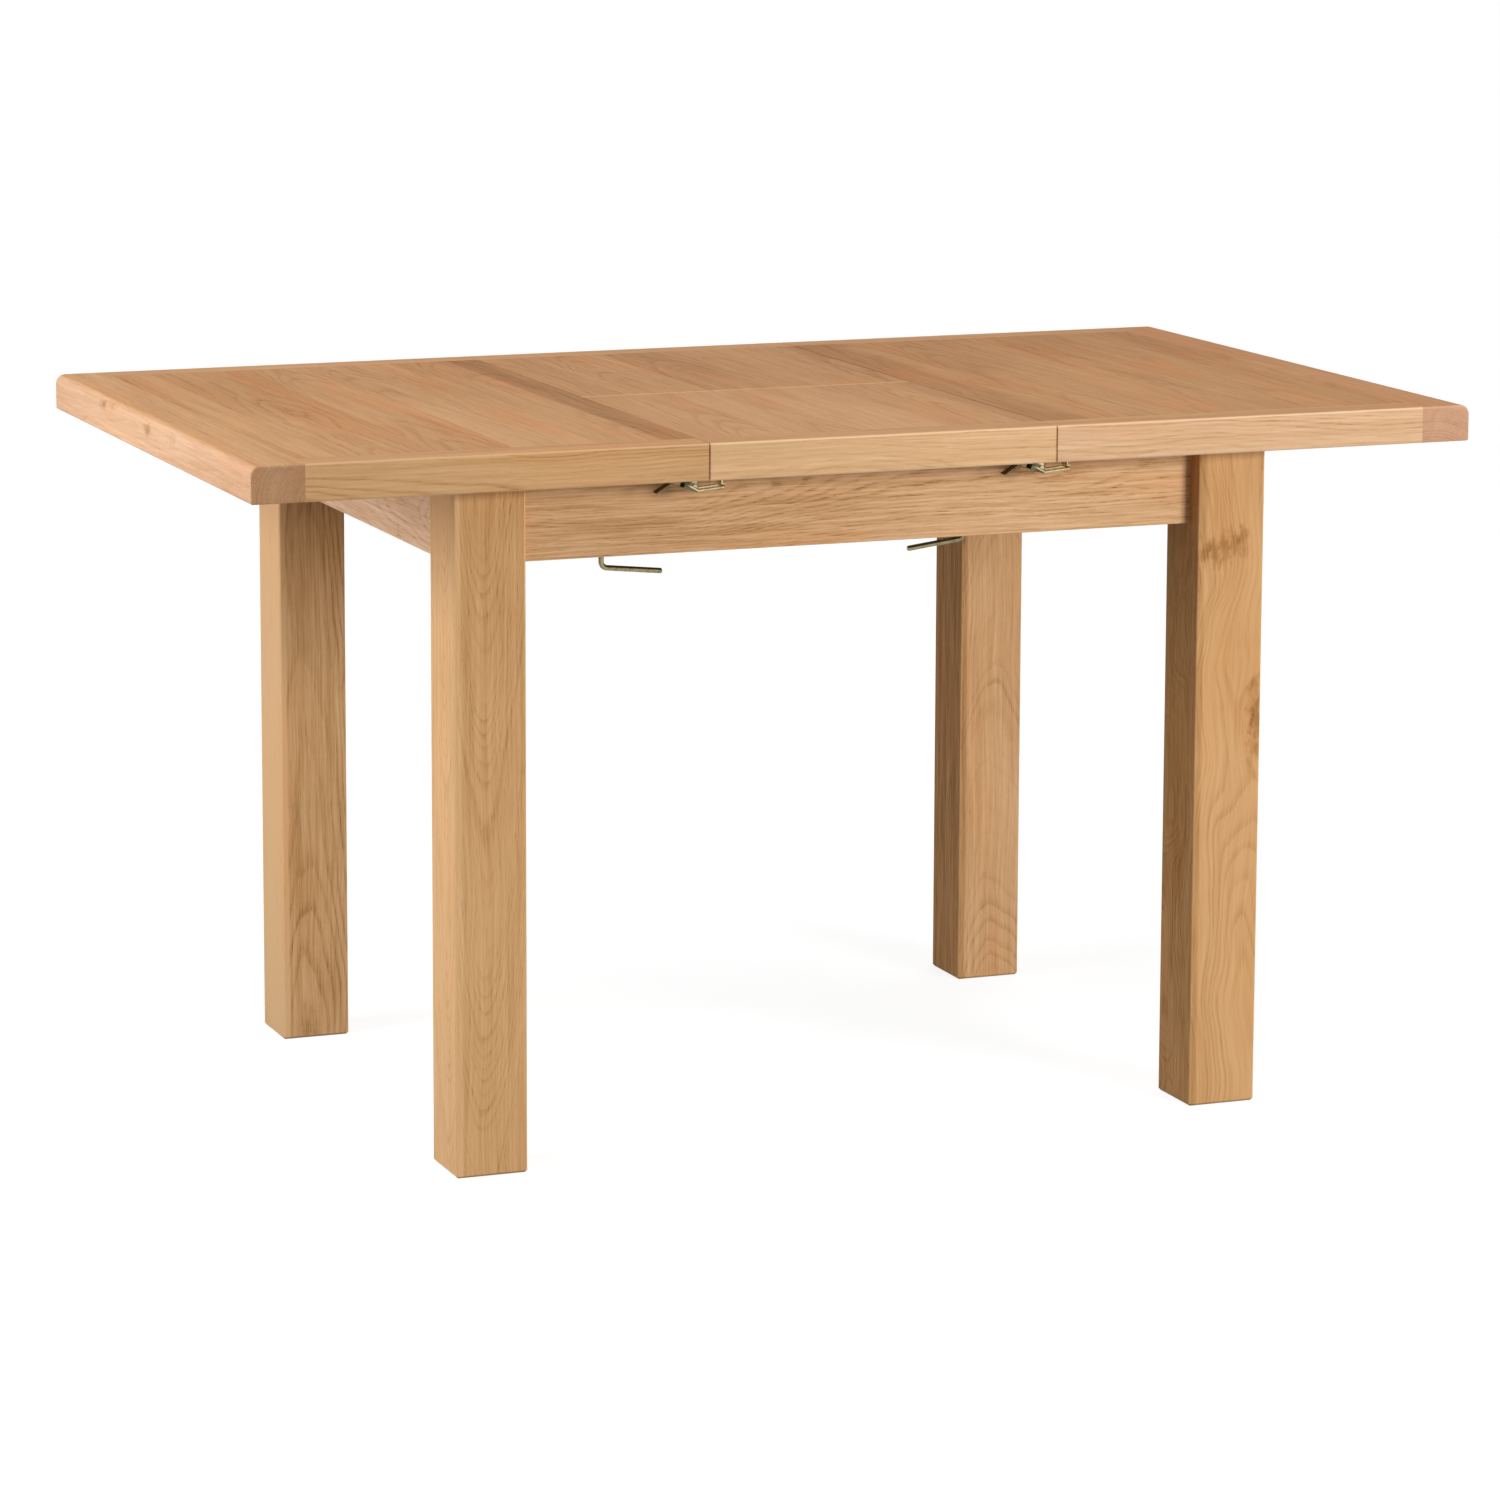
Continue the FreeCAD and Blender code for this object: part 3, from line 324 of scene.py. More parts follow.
class Oak(Graph):
    """Oak with its grain along one axis: one solid texture, so that end grain shows on the ends.

    u and v are the distances from the pith, across and through the board. Each feature adds to steps,
    whose sum is the wood's depth of colour.
    """

    def __init__(self, name, along, centre, pith, board, seed, swirl):
        super().__init__(bpy.data.materials.new(name))
        self.order = AXES[along]
        self.seed = seed
        self.steps = []
        self.pushes = []
        coordinates = self.add("ShaderNodeTexCoord").outputs
        self.place = self.split(coordinates["Object"])
        self.normal = self.split(coordinates["Normal"])
        across, through, self.length = (self.scaled(self.place[i], 1.0, centre[i]) for i in self.order)
        self.u = self.scaled(across, 1.0, pith[0])
        self.v = self.scaled(through, 1.0, pith[1])
        if board:
            self.lay_boards(across, board)
        self.u = self.total(self.u, self.scaled(self.field(BEND), swirl, 0.5))

    def lay_boards(self, across, width):
        """Glued boards, each with its own tone and its own place in the tree, and slightly darker joints."""
        place = self.total(self.math("DIVIDE", across, width), self.seed)
        settings = {"W": place, "Scale": 1.0, "Randomness": BOARD_UNEVENNESS}
        cell, edge = (
            self.add("ShaderNodeTexVoronoi", settings, voronoi_dimensions="1D", feature=feature).outputs
            for feature in ("F1", "DISTANCE_TO_EDGE"))
        picks = self.add("ShaderNodeSeparateColor", {0: cell["Color"]}).outputs
        joint = self.ease(edge["Distance"], 0.0, JOINT_WIDTH / width, 1.0, 0.0)
        self.steps += [self.scaled(picks[0], BOARD_CONTRAST, 0.5), self.times(joint, JOINT_DEPTH)]
        from_middle = self.scaled(self.math("SUBTRACT", place, cell["W"]), width)
        self.u = self.total(from_middle, self.scaled(picks[1], BOARD_SHIFT[0], 0.5))
        self.v = self.total(self.v, self.scaled(picks[2], BOARD_SHIFT[1], 0.5))
        self.length = self.total(self.length, self.times(picks[1], BOARD_SHIFT[2]))

    def field(self, waves):
        """Noise drawn out along the grain."""
        lengthwise = self.total(self.scaled(self.length, waves.along), self.seed + waves.shift)
        spot = self.join(self.scaled(self.u, waves.across), self.scaled(self.v, waves.across), lengthwise)
        return self.noise(spot, waves.detail, waves.roughness)

    def outward(self, waves):
        """Noise that changes outward from the pith and slowly along the grain."""
        distance = self.scaled(self.radius, waves.across)
        spot = self.join(distance, self.seed + waves.shift, self.scaled(self.length, waves.along))
        return self.noise(spot, waves.detail, waves.roughness)

    def mark_knot(self, knot):
        """A dark, ragged spot that pushes the growth layers round it."""
        spot = self.join(*(
            self.scaled(self.place[axis], stretch, knot[axis]) for axis, stretch in zip(self.order, KNOT_STRETCH)))
        distance = self.add("ShaderNodeVectorMath", {0: spot}, operation="LENGTH").outputs["Value"]
        wobble = self.noise(self.stretched(self.place, KNOT_OUTLINE), KNOT_DETAIL)
        ragged = self.total(distance, self.scaled(wobble, KNOT_WOBBLE * knot.radius, 0.5))
        start, end = (share * knot.radius for share in KNOT_FADE)
        self.steps.append(self.ease(ragged, start, end, knot.amount, 0.0))
        push = KNOT_PUSH * knot.radius * knot.amount
        self.pushes.append(self.ease(distance, 0.0, KNOT_REACH * knot.radius, push, 0.0))

    def mark_faces(self, end_grain, edge_highlight):
        """Deeper end grain, and arrises painted paler: a painted highlight along every arris."""
        facing = [self.math("ABSOLUTE", self.normal[i]) for i in self.order]
        most = self.math("MAXIMUM", facing[0], self.math("MAXIMUM", facing[1], facing[2]))
        self.end_face = self.ease(facing[2], *END_FACING)
        arris = self.ease(most, *ARRIS_FACING, 1.0, 0.0)
        self.steps += [self.times(self.end_face, end_grain), self.times(arris, -edge_highlight)]

    def lay_growth(self, wander, taper, spacing, rings):
        """Growth layers about the pith, wandering along the board; each starts sharply and fades."""
        self.wide = self.field(WIDE_WAVES)
        close = self.field(CLOSE_WAVES)
        straight = self.math("SQRT", self.total(self.times(self.u, self.u), self.times(self.v, self.v)))
        self.radius = self.total(
            straight, self.scaled(self.wide, wander, 0.5), self.scaled(close, CLOSE_WANDER, 0.5),
            self.scaled(self.length, taper), *self.pushes)
        pace = self.noise(self.join(self.scaled(self.radius, PACE_SCALE), self.seed, 0.0), PACE_DETAIL)
        count = self.total(self.math("DIVIDE", self.radius, spacing), self.scaled(pace, PACE_SWING, 0.5))
        turn = self.math("FRACT", count)
        start = self.times(self.ease(turn, 0.0, DARKENED), self.ease(turn, DARKENED, FADED, 1.0, 0.0))
        self.layer = self.times(start, self.ease(self.outward(FORCE), *FORCE_STEP, WEAKEST_LAYER, 1.0))
        self.steps += [
            self.scaled(self.layer, rings, LAYER_MEAN),
            self.scaled(self.outward(BROAD_BANDS), BROAD_SHARE * rings, 0.5),
        ]

    def lay_fibres(self, fibre, mottle):
        """Fibres and open pores, closer together in the growth layers, then streaks, clouds and rays."""
        end_share = self.ease(self.end_face, 0.0, 1.0, 1.0, END_FIBRES)
        self.fibres = self.times(self.scaled(self.field(FIBRES), 1.0, 0.5), end_share)
        self.dashes = self.times(
            self.ease(self.field(DASHES), *DASH_STEP),
            self.total(self.scaled(self.layer, DASH_IN_LAYER), DASH_PLAIN))
        self.pores = self.times(
            self.ease(self.field(PORES), *PORE_STEP),
            self.total(self.scaled(self.layer, PORE_IN_LAYER), PORE_PLAIN))
        self.streak = self.field(STREAKS)
        angle = self.math("ARCTAN2", self.v, self.u)
        rays = self.noise(self.stretched((angle, self.radius, self.length), RAY_SCALES), RAY_DETAIL)
        self.steps += [
            self.scaled(self.fibres, FIBRE_DEPTH * fibre),
            self.scaled(self.streak, STREAK_DEPTH * mottle, 0.5),
            self.scaled(self.field(CLOUDS), CLOUD_DEPTH * mottle, 0.5),
            self.times(self.dashes, DASH_DEPTH * fibre),
            self.times(self.pores, PORE_DEPTH * fibre),
            self.times(self.ease(rays, *RAY_STEP), RAY_DEPTH),
        ]

    def mark_stripe(self, stripe):
        """A deeper or paler band across one axis, with ragged edges."""
        waver = self.scaled(self.wide, STRIPE_WAVER * stripe.half_width, 0.5)
        off = self.math("ABSOLUTE", self.total(self.place[stripe.axis], -stripe.middle, waver))
        band = self.ease(off, STRIPE_CORE * stripe.half_width, stripe.half_width, stripe.amount, 0.0)
        streaky = self.total(self.scaled(self.streak, STRIPE_IN_STREAK), STRIPE_PLAIN)
        self.steps.append(self.times(band, streaky))

    def lacquered(self, tone, painted_top_tone, ruddiness):
        """The finished material; a top tone, if given, colours the faces that look up, and the sides keep their paler
        tone: painted light on the sides.
        """
        depth = self.total(PLAIN_DEPTH, *self.steps)
        colour = self.ramp(depth, oak_colours(tone))
        if painted_top_tone:
            upward = self.ease(self.normal[2], *UP_FACING)
            colour = self.mix(upward, colour, self.ramp(depth, oak_colours(painted_top_tone)))
        patches = self.ease(self.field(RUDDY_PATCHES), *RUDDY_STEP, 0.0, ruddiness)
        colour = self.mix(patches, colour, self.mix(1.0, colour, RUDDY, "MULTIPLY"))
        height = self.total(
            self.times(self.dashes, DASH_HEIGHT), self.times(self.pores, PORE_HEIGHT),
            self.scaled(self.layer, LAYER_HEIGHT), self.scaled(self.fibres, FIBRE_HEIGHT))
        bump = self.add("ShaderNodeBump", {**GRAIN_BUMP, "Height": height})
        rough = self.total(
            SATIN, self.scaled(self.streak, STREAK_ROUGH, 0.5), self.times(self.dashes, DASH_ROUGH),
            self.times(self.end_face, END_ROUGH))
        return self.finish(self.add("ShaderNodeBsdfPrincipled", {
            "Base Color": colour, "Roughness": rough, "Normal": bump.outputs[0], "Specular IOR Level": GLOSS,
        }))


def oak(name, tone, along, centre, pith=(0.01, -0.08), board=None, seed=0.0, taper=0.02, wander=0.03,
        spacing=0.0026, rings=0.20, fibre=1.0, stripes=(), knots=(), mottle=1.0, end_grain=0.24, painted_top_tone=None,
        swirl=0.010, ruddiness=0.55, edge_highlight=0.26):
    """Satin lacquered oak. Lengths are in metres; rings, fibre and mottle say how strong those features are. The
    arrises get a painted highlight, and a top tone leaves the sides paler than the tops as painted light.
    """
    wood = Oak(name, along, centre, pith, board, seed, swirl)
    for knot in knots:
        wood.mark_knot(knot)
    wood.mark_faces(end_grain, edge_highlight)
    wood.lay_growth(wander, taper, spacing, rings)
    wood.lay_fibres(fibre, mottle)
    for stripe in stripes:
        wood.mark_stripe(stripe)
    return wood.lacquered(tone, painted_top_tone, ruddiness)


# ---------------------------------------------------------------- the metal texture
PLATE_CLOUDS = (130.0, 130.0, 130.0)    # cycles to the metre
PLATE_MARKS = (60.0, 900.0, 900.0)
CLOUD_DETAIL, CLOUD_ROUGHNESS = 4.0, 0.6
MARK_DETAIL, MARK_ROUGHNESS = 2.0, 0.6
WORN_STEP = (0.46, 0.72)
MARK_TONE = (0.62, 0.60, 0.56)          # share of the clean tone
MARK_SHARE = 0.20
CLOUD_ROUGH, WORN_ROUGH = 0.25, 0.12
MARK_HEIGHT, CLOUD_HEIGHT = 0.4, 0.6
PLATE_BUMP = {"Strength": 0.08, "Distance": 0.0002}


def metal(name, tones, rough, metallic=0.9):
    """Plated steel: a slightly cloudy colour, fine drawing marks and dull, worn patches."""
    g = Graph(bpy.data.materials.new(name))
    place = g.split(g.add("ShaderNodeTexCoord").outputs["Object"])
    cloud = g.noise(g.stretched(place, PLATE_CLOUDS), CLOUD_DETAIL, CLOUD_ROUGHNESS)
    marks = g.noise(g.stretched(place, PLATE_MARKS), MARK_DETAIL, MARK_ROUGHNESS)
    worn = g.ease(cloud, *WORN_STEP)
    clean, dull = (linear(tone) for tone in tones)
    colour = g.mix(g.scaled(marks, MARK_SHARE), g.mix(worn, clean, dull), shaded(clean, MARK_TONE))
    height = g.total(g.scaled(marks, MARK_HEIGHT), g.scaled(cloud, CLOUD_HEIGHT))
    bump = g.add("ShaderNodeBump", {**PLATE_BUMP, "Height": height})
    return g.finish(g.add("ShaderNodeBsdfPrincipled", {
        "Base Color": colour, "Metallic": metallic,
        "Roughness": g.total(rough, g.scaled(cloud, CLOUD_ROUGH, 0.5), g.scaled(worn, WORN_ROUGH)),
        "Normal": bump.outputs[0],
    }))


SIDES = ("left", "right")


def wear(material, *names):
    """Gives the named CAD nodes one material."""
    for name in names:
        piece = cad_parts[name]
        piece.data.materials.clear()
        piece.data.materials.append(material)


def middle(name):
    """The middle of a CAD node's box."""
    low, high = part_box(name)
    return [(low[i] + high[i]) / 2 for i in range(3)]


# ---------------------------------------------------------------- end boards
END_ROUND = 0.0105          # upper arris of the outer side
UNDER_ROUND = 0.0025        # lower arris of the outer side
TOP_EASE = 0.003            # rounds between the end grain and the top, the side and the underside
SIDE_EASE = 0.0018
UNDER_EASE = 0.0015
TONGUE = 0.012              # thickness of the panel's tongue
TONGUE_STOP = 0.014         # it ends this far short of the panel's corners
TONGUE_FIT = 0.0001
ROUND_STEPS = 10
EASE_STEPS = 5


def end_board_profile(inner, outer, low_z, high_z):
    """The board's section, from its upper to its lower inner corner: place, outward normal, ease at the ends."""
    outward = math.copysign(1.0, outer - inner)
    profile = [((inner, high_z), (0.0, 1.0), TOP_EASE)]
    for centre_z, radius, start, first_ease, last_ease in (
            (high_z - END_ROUND, END_ROUND, 90.0, TOP_EASE, SIDE_EASE),
            (low_z + UNDER_ROUND, UNDER_ROUND, 0.0, SIDE_EASE, UNDER_EASE)):
        for step in range(ROUND_STEPS + 1):
            share = step / ROUND_STEPS
            angle = math.radians(start - 90.0 * share)
            normal = (outward * math.cos(angle), math.sin(angle))
            place = (outer - outward * radius + radius * normal[0], centre_z + radius * normal[1])
            profile.append((place, normal, first_ease + (last_ease - first_ease) * share))
    profile.append(((inner, low_z), (0.0, -1.0), UNDER_EASE))
    return profile


def add_skin(shape, profile, low_y, high_y):
    """The section drawn along Y and eased at both ends. Gives its rings of corners, and the corners' normals."""
    rings = []
    normals = []
    turns = [math.radians(90.0 * step / EASE_STEPS) for step in range(EASE_STEPS + 1)]
    for end_y, inward, order in ((low_y, 1.0, turns), (high_y, -1.0, turns[::-1])):
        for turn in order:
            ring = []
            for (x, z), (normal_x, normal_z), ease in profile:
                inset = ease * (1.0 - math.sin(turn))
                y = end_y + inward * ease * (1.0 - math.cos(turn))
                ring.append(shape.verts.new((x - normal_x * inset, y, z - normal_z * inset)))
                normals.append((normal_x * math.sin(turn), -inward * math.cos(turn), normal_z * math.sin(turn)))
            rings.append(ring)
    for first, second in zip(rings, rings[1:]):
        for i in range(len(profile) - 1):
            shape.faces.new((first[i], first[i + 1], second[i + 1], second[i]))
    shape.faces.new(rings[0])
    shape.faces.new(rings[-1])
    return rings, normals


def add_groove(shape, rings, inner, floor_x, end_y, centre_z):
    """The inner side, with the groove for the panel's tongue. Gives the groove's corners."""
    half = TONGUE / 2 + TONGUE_FIT
    corners = [(-end_y, half), (end_y, half), (end_y, -half), (-end_y, -half)]
    mouth = [shape.verts.new((inner, y, centre_z + z)) for y, z in corners]
    floor = [shape.verts.new((floor_x, y, centre_z + z)) for y, z in corners]
    upper = [ring[0] for ring in rings]
    lower = [ring[-1] for ring in rings]
    shape.faces.new(upper + [mouth[1], mouth[0]])
    shape.faces.new((upper[-1], lower[-1], mouth[2], mouth[1]))
    shape.faces.new(lower[::-1] + [mouth[3], mouth[2]])
    shape.faces.new((lower[0], upper[0], mouth[0], mouth[3]))
    for i in range(len(mouth)):
        shape.faces.new((mouth[i - 1], mouth[i], floor[i], floor[i - 1]))
    shape.faces.new(floor)
    return mouth + floor


def end_board(side, material):
    """An end board whose large outer round runs through to the end grain, grooved for the panel's tongue."""
    low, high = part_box(f"{side}_end_board")
    panel_low, panel_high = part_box(f"{side}_panel")
    if side == "left":
        inner, outer, tongue_tip = high.x, low.x, panel_low.x
    else:
        inner, outer, tongue_tip = low.x, high.x, panel_high.x
    outward = math.copysign(1.0, outer - inner)
    groove_end = panel_high.y - abs(tongue_tip - inner) - TONGUE_STOP + TONGUE_FIT
    groove_floor = tongue_tip + outward * TONGUE_FIT
    shape = bmesh.new()
    rings, normals = add_skin(shape, end_board_profile(inner, outer, low.z, high.z), low.y, high.y)
    groove = add_groove(shape, rings, inner, groove_floor, groove_end, (low.z + high.z) / 2)
    normals += [(-outward, 0.0, 0.0)] * len(groove)
    bmesh.ops.recalc_face_normals(shape, faces=shape.faces)

    name = f"{side}_end_board_rounded"
    mesh = bpy.data.meshes.new(name)
    shape.to_mesh(mesh)
    shape.free()
    mesh.shade_smooth()
    mesh.normals_split_custom_set_from_vertices(normals)
    mesh.materials.append(material)
    board = bpy.data.objects.new(name, mesh)
    bpy.context.scene.collection.objects.link(board)
    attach(board, f"{side}_top")
    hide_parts(f"{side}_end_board")


# ---------------------------------------------------------------- the table top
BOARD = 0.098
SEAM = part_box("leaf_front_panel")[1].x
END_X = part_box("right_end_board")[1].x
END_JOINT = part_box("left_end_board")[1].x
FRONT_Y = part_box("leaf_front_edge")[0].y
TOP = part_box("left_end_board")[1].z
SEAM_SHADE_LINES = (Stripe(X, -SEAM, 0.0016, 0.50), Stripe(X, SEAM, 0.0016, 0.50))    # painted shade in the open joints
FOLD_HIGHLIGHT = Stripe(Y, 0.0, 0.005, -0.22)                # a painted highlight where the two halves of the leaf meet
REAR_SHADE = Stripe(Y, -FRONT_Y, 0.55, 0.10)            # the rear of the top is a little deeper
RIGHT_REAR_SHADE = Stripe(Y, -FRONT_Y, 0.40, 0.12)
DARK_BOARD = Stripe(X, -SEAM - 0.020, 0.024, 0.30)      # the narrow dark board beside the left seam
END_SHADE = Stripe(X, END_JOINT, 0.016, 0.10)
LEAF_SHADE = Stripe(X, SEAM - 0.012, 0.016, 0.10)
RIGHT_SEAM_SHADE = Stripe(X, SEAM + 0.026, 0.040, 0.20)
# a painted highlight along the left end's outer side and its arris
LEFT_SIDE_HIGHLIGHT = Stripe(X, -END_X, 0.006, -0.05)
LEFT_SIDE_KNOTS = (
    Knot(-END_X, 0.185, TOP - 0.008, 0.006, 0.4), Knot(-END_X, 0.15, TOP - 0.005, 0.008, 0.2),
    Knot(-END_X, 0.0, TOP - 0.014, 0.006, 0.4), Knot(-END_X, -0.10, TOP - 0.012, 0.008, 0.15))

for part, tone, seed, stripes in (
        ("left_panel", PANEL_TONE, 3.4, (DARK_BOARD, END_SHADE, REAR_SHADE)),
        ("leaf_front_panel", PANEL_TONE, 11.7, (LEAF_SHADE, FOLD_HIGHLIGHT, REAR_SHADE)),
        ("leaf_rear_panel", PANEL_TONE, 15.2, (LEAF_SHADE, FOLD_HIGHLIGHT, REAR_SHADE)),
        ("right_panel", RIGHT_PANEL_TONE, 23.1, (RIGHT_SEAM_SHADE, RIGHT_REAR_SHADE))):
    wear(oak(part + "_oak", tone, "Y", middle(part), board=BOARD, seed=seed, rings=0.10, fibre=0.5,
             ruddiness=1.0, stripes=stripes + SEAM_SHADE_LINES), part)
end_board("left", oak(
    "left_end_oak", LEFT_END_TONE, "Y", middle("left_end_board"), pith=(0.06, -0.03), seed=5.2, rings=0.14,
    end_grain=0.23, fibre=0.7, painted_top_tone=PANEL_TONE, edge_highlight=0.04, stripes=(LEFT_SIDE_HIGHLIGHT,),
    knots=LEFT_SIDE_KNOTS))
end_board("right", oak(
    "right_end_oak", RIGHT_END_TONE, "Y", middle("right_end_board"), pith=(-0.02, -0.09), seed=8.9, rings=0.14,
    fibre=0.7, end_grain=0.10, painted_top_tone=RIGHT_END_TOP_TONE, edge_highlight=0.10))
for part, tone, seed, taper, rings in (
        ("left_front_edge", LEFT_EDGE_TONE, 2.3, 0.018, 0.20),
        ("left_rear_edge", LEFT_EDGE_TONE, 3.9, 0.03, 0.20),
        ("leaf_front_edge", EDGE_TONE, 7.7, 0.012, 0.12),
        ("leaf_rear_edge", EDGE_TONE, 6.6, 0.012, 0.12),
        ("right_front_edge", RIGHT_EDGE_TONE, 13.1, 0.02, 0.14),
        ("right_rear_edge", RIGHT_EDGE_TONE, 12.4, 0.02, 0.14)):
    wear(oak(part + "_oak", tone, "X", middle(part), pith=(0.055, -0.03), seed=seed, taper=taper, rings=rings,
             spacing=0.0020, fibre=0.65, painted_top_tone=PANEL_TONE, edge_highlight=0.48, stripes=SEAM_SHADE_LINES), part)

# ---------------------------------------------------------------- the underframe
LEG_LEFT = {side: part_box(f"front_{side}_leg")[0].x for side in SIDES}
LEG_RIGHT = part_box("front_right_leg")[1].x
LEG_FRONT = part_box("front_right_leg")[0].y
SIDE_LIGHT_BAND = 0.010           # how far in from its left face a leg's painted light or shade reaches
# painted light: the front rail paler towards its right, where the lamp at the right front lights it
RAIL_PAINTED_LIGHT = Stripe(X, LEG_LEFT["right"], 0.42, -0.10)

# the reddish mark and edge of the right front leg
RED_MARK = tuple(
    Knot(LEG_LEFT["right"] + 0.008 + 0.012 * i, LEG_FRONT, 0.624 + 0.0035 * i, 0.007, 0.30) for i in range(5))
RED_EDGE = tuple(Knot(LEG_RIGHT - 0.006, LEG_FRONT, 0.40 + 0.02 * i, 0.012, 0.16) for i in range(4))

# the stripes on the legs' left faces are painted light and shade: paler on the left legs, which the left lamp lights,
# deeper on the right legs, which the top shades
LEGS = {
    "front_left_leg": dict(
        tone=FRONT_LEG_TONE, seed=1.7, pith=(-0.006, -0.012), taper=-0.12, rings=0.10, fibre=0.8,
        swirl=0.014, mottle=1.2, stripes=(Stripe(X, LEG_LEFT["left"], SIDE_LIGHT_BAND, -0.22),)),
    "front_right_leg": dict(
        tone=FRONT_LEG_TONE, seed=6.1, pith=(0.030, 0.030), taper=0.02, rings=0.14, fibre=0.45,
        swirl=0.070, mottle=1.4, stripes=(Stripe(X, LEG_LEFT["right"], SIDE_LIGHT_BAND, 0.22),),
        knots=RED_MARK + RED_EDGE),
    "rear_left_leg": dict(
        tone=REAR_LEFT_LEG_TONE, seed=9.4, pith=(-0.010, 0.060), taper=0.03, rings=0.24, fibre=1.2,
        swirl=0.020, mottle=2.2, stripes=(Stripe(X, LEG_LEFT["left"], SIDE_LIGHT_BAND, -0.50),)),
    "rear_right_leg": dict(
        tone=REAR_RIGHT_LEG_TONE, seed=14.2, pith=(0.010, 0.070), taper=0.10, rings=0.14, fibre=0.9,
        swirl=0.014, mottle=1.0, stripes=(Stripe(X, LEG_LEFT["right"], SIDE_LIGHT_BAND, 0.34),)),
}
for part, looks in LEGS.items():
    wear(oak(part + "_oak", along="Z", centre=middle(part), wander=0.04, **looks), part)
wear(oak("front_rail_oak", RAIL_TONE, "X", middle("front_rail"), pith=(0.09, 0.03), seed=4.6, taper=0.014,
         wander=0.04, spacing=0.0015, rings=0.12, fibre=1.4, stripes=(RAIL_PAINTED_LIGHT,)), "front_rail")
wear(oak("rear_rail_oak", RAIL_TONE, "X", middle("rear_rail"), pith=(-0.09, 0.03), seed=17.3), "rear_rail")
for part, pith, seed in (("left_rail", (0.07, 0.0), 19.8), ("right_rail", (-0.07, 0.0), 22.8)):
    wear(oak(part + "_oak", SIDE_RAIL_TONE, "Y", middle(part), pith=pith, seed=seed, taper=0.04, rings=0.12), part)
wear(oak("bearer_oak", INNER_TONE, "Y", middle("left_bearer"), seed=21.5), "left_bearer", "right_bearer")
wear(oak("block_oak", INNER_TONE, "Z", middle("corner_blocks"), seed=25.5), "corner_blocks")
beech = oak("beech", BEECH_TONE, "X", middle("front_slide_bed"), seed=31.0, rings=0.08, fibre=0.5)
for end in ("front", "rear"):
    wear(beech, f"{end}_slide_bed", *(f"{end}_{lane}_guide" for lane in ("inner", "middle", "outer")),
         *(f"{side}_{end}_runner" for side in SIDES))

# ---------------------------------------------------------------- hardware
wear(metal("yellow_zinc_plate", YELLOW_ZINC, rough=0.28),
     *(f"{side}_catch_{part}" for side in SIDES for part in ("base", "rivet", "bail", "keeper")))
# the levers: a darker copy of the plating, painted shade
wear(metal("lever_zinc_painted_shade", LEVER_SHADE_ZINC, rough=0.34, metallic=0.8),
     *(f"{side}_catch_lever" for side in SIDES))
wear(metal("olive_zinc_plate", OLIVE_ZINC, rough=0.24, metallic=1.0), *(f"{side}_lock_bolt" for side in SIDES))
wear(metal("bright_zinc_plate", BRIGHT_ZINC, rough=0.30),
     "leg_bolts", "leg_nuts", "lock_inserts", "pivot_plates", "pivot_arms", "frame_screws", "leaf_screws",
     "left_runner_screws", "right_runner_screws", "left_catch_screws", "right_keeper_screws")
wear(metal("plain_steel", PLAIN_STEEL, rough=0.36), "front_hinge_cups", "rear_hinge_cups")


# ---------------------------------------------------------------- stage
def white_room():
    """The world: white where it is seen, and plain soft light on the object."""
    g = Graph(bpy.data.worlds.new("studio"))
    light = g.add("ShaderNodeBackground", {"Color": WHITE, "Strength": WORLD_LIGHT})
    white = g.add("ShaderNodeBackground", {"Color": WHITE, "Strength": 1.0})
    choice = g.add("ShaderNodeMixShader", {0: g.seen(), 1: light.outputs[0], 2: white.outputs[0]})
    bpy.context.scene.world = g.finish(choice, "ShaderNodeOutputWorld")


def pale_floor():
    """A plain white floor: it glows where it is seen, without lighting the table, and keeps a faint shadow."""
    mesh = bpy.data.meshes.new("floor")
    corners = [(x * FLOOR_HALF, y * FLOOR_HALF, 0.0) for x, y in ((-1, -1), (1, -1), (1, 1), (-1, 1))]
    mesh.from_pydata(corners, [], [(0, 1, 2, 3)])
    g = Graph(bpy.data.materials.new("floor_white"))
    glow = g.add("ShaderNodeEmission", {"Color": WHITE, "Strength": g.times(g.seen(), FLOOR_GLOW)})
    matt = g.add("ShaderNodeBsdfDiffuse", {"Color": (FLOOR_TONE, FLOOR_TONE, FLOOR_TONE, 1.0)})
    mesh.materials.append(g.finish(g.add("ShaderNodeAddShader", {0: matt.outputs[0], 1: glow.outputs[0]})))
    floor = bpy.data.objects.new("floor", mesh)
    bpy.context.scene.collection.objects.link(floor)


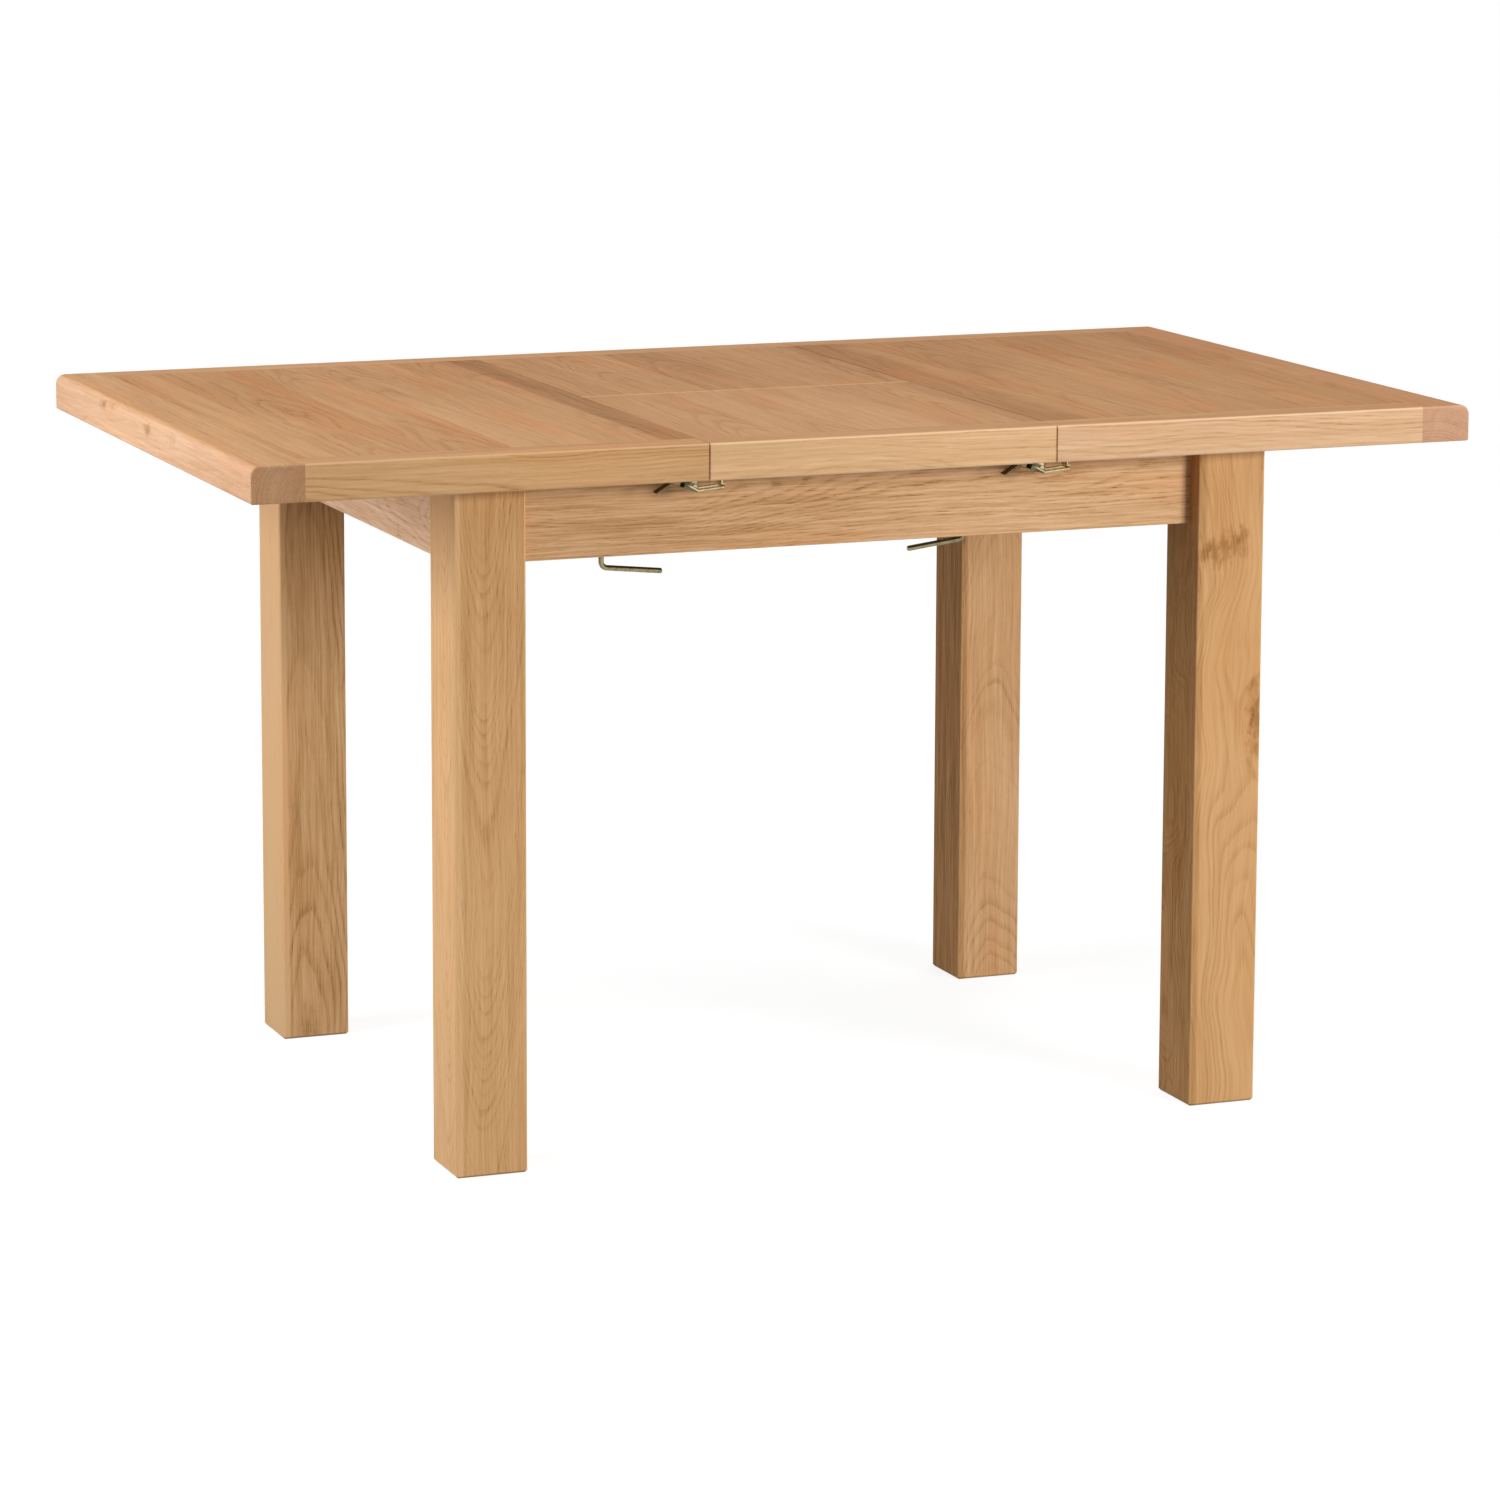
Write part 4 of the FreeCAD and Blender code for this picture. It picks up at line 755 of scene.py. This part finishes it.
def lamp(data, source):
    """A lamp that isn't seen in reflections, turned so that its light comes from the source's direction."""
    piece = bpy.data.objects.new(data.name, data)
    bpy.context.scene.collection.objects.link(piece)
    piece.rotation_mode = "QUATERNION"
    piece.rotation_quaternion = source.to_track_quat("Z", "Y")
    piece.visible_glossy = False
    return piece


def sun(name, strength, source):
    """A soft, even light from one side; strength 1 lights a surface facing it as it is written."""
    data = bpy.data.lights.new(name, "SUN")
    data.energy = strength * math.pi
    data.angle = math.radians(SOFTNESS)
    lamp(data, Vector(source))


def soft_box(name, power, place, target, size, tint):
    """A square soft box near the table."""
    data = bpy.data.lights.new(name, "AREA")
    data.energy = power
    data.color = tint
    data.size = size
    box = lamp(data, Vector(place) - Vector(target))
    box.location = place
    box.visible_camera = False


def camera():
    """The camera, fitted to the photograph."""
    data = bpy.data.cameras.new("camera")
    data.sensor_width = SENSOR
    data.lens = FOCAL_PIXELS / FRAME_PIXELS * SENSOR
    data.shift_x, data.shift_y = SHIFT
    eye = bpy.data.objects.new("camera", data)
    bpy.context.scene.collection.objects.link(eye)
    flat = math.cos(CAMERA_PITCH)
    forward = Vector((math.sin(CAMERA_YAW) * flat, math.cos(CAMERA_YAW) * flat, -math.sin(CAMERA_PITCH)))
    level = Vector((math.cos(CAMERA_YAW), -math.sin(CAMERA_YAW), 0.0))
    above = level.cross(forward)
    right = math.cos(CAMERA_ROLL) * level + math.sin(CAMERA_ROLL) * above
    up = -math.sin(CAMERA_ROLL) * level + math.cos(CAMERA_ROLL) * above
    eye.matrix_world = Matrix((right, up, -forward)).transposed().to_4x4()
    eye.location = CAMERA_PLACE
    bpy.context.scene.camera = eye


white_room()
pale_floor()
sun("top_light", TOP_LIGHT, TOP_SOURCE)
sun("back_light", BACK_LIGHT, BACK_SOURCE)
soft_box("left_light", LEFT_POWER, LEFT_PLACE, LEFT_TARGET, LEFT_SIZE, LEFT_TINT)
soft_box("front_light", FRONT_POWER, FRONT_PLACE, FRONT_TARGET, FRONT_SIZE, FRONT_TINT)
camera()
bpy.context.scene.view_settings.view_transform = "Standard"
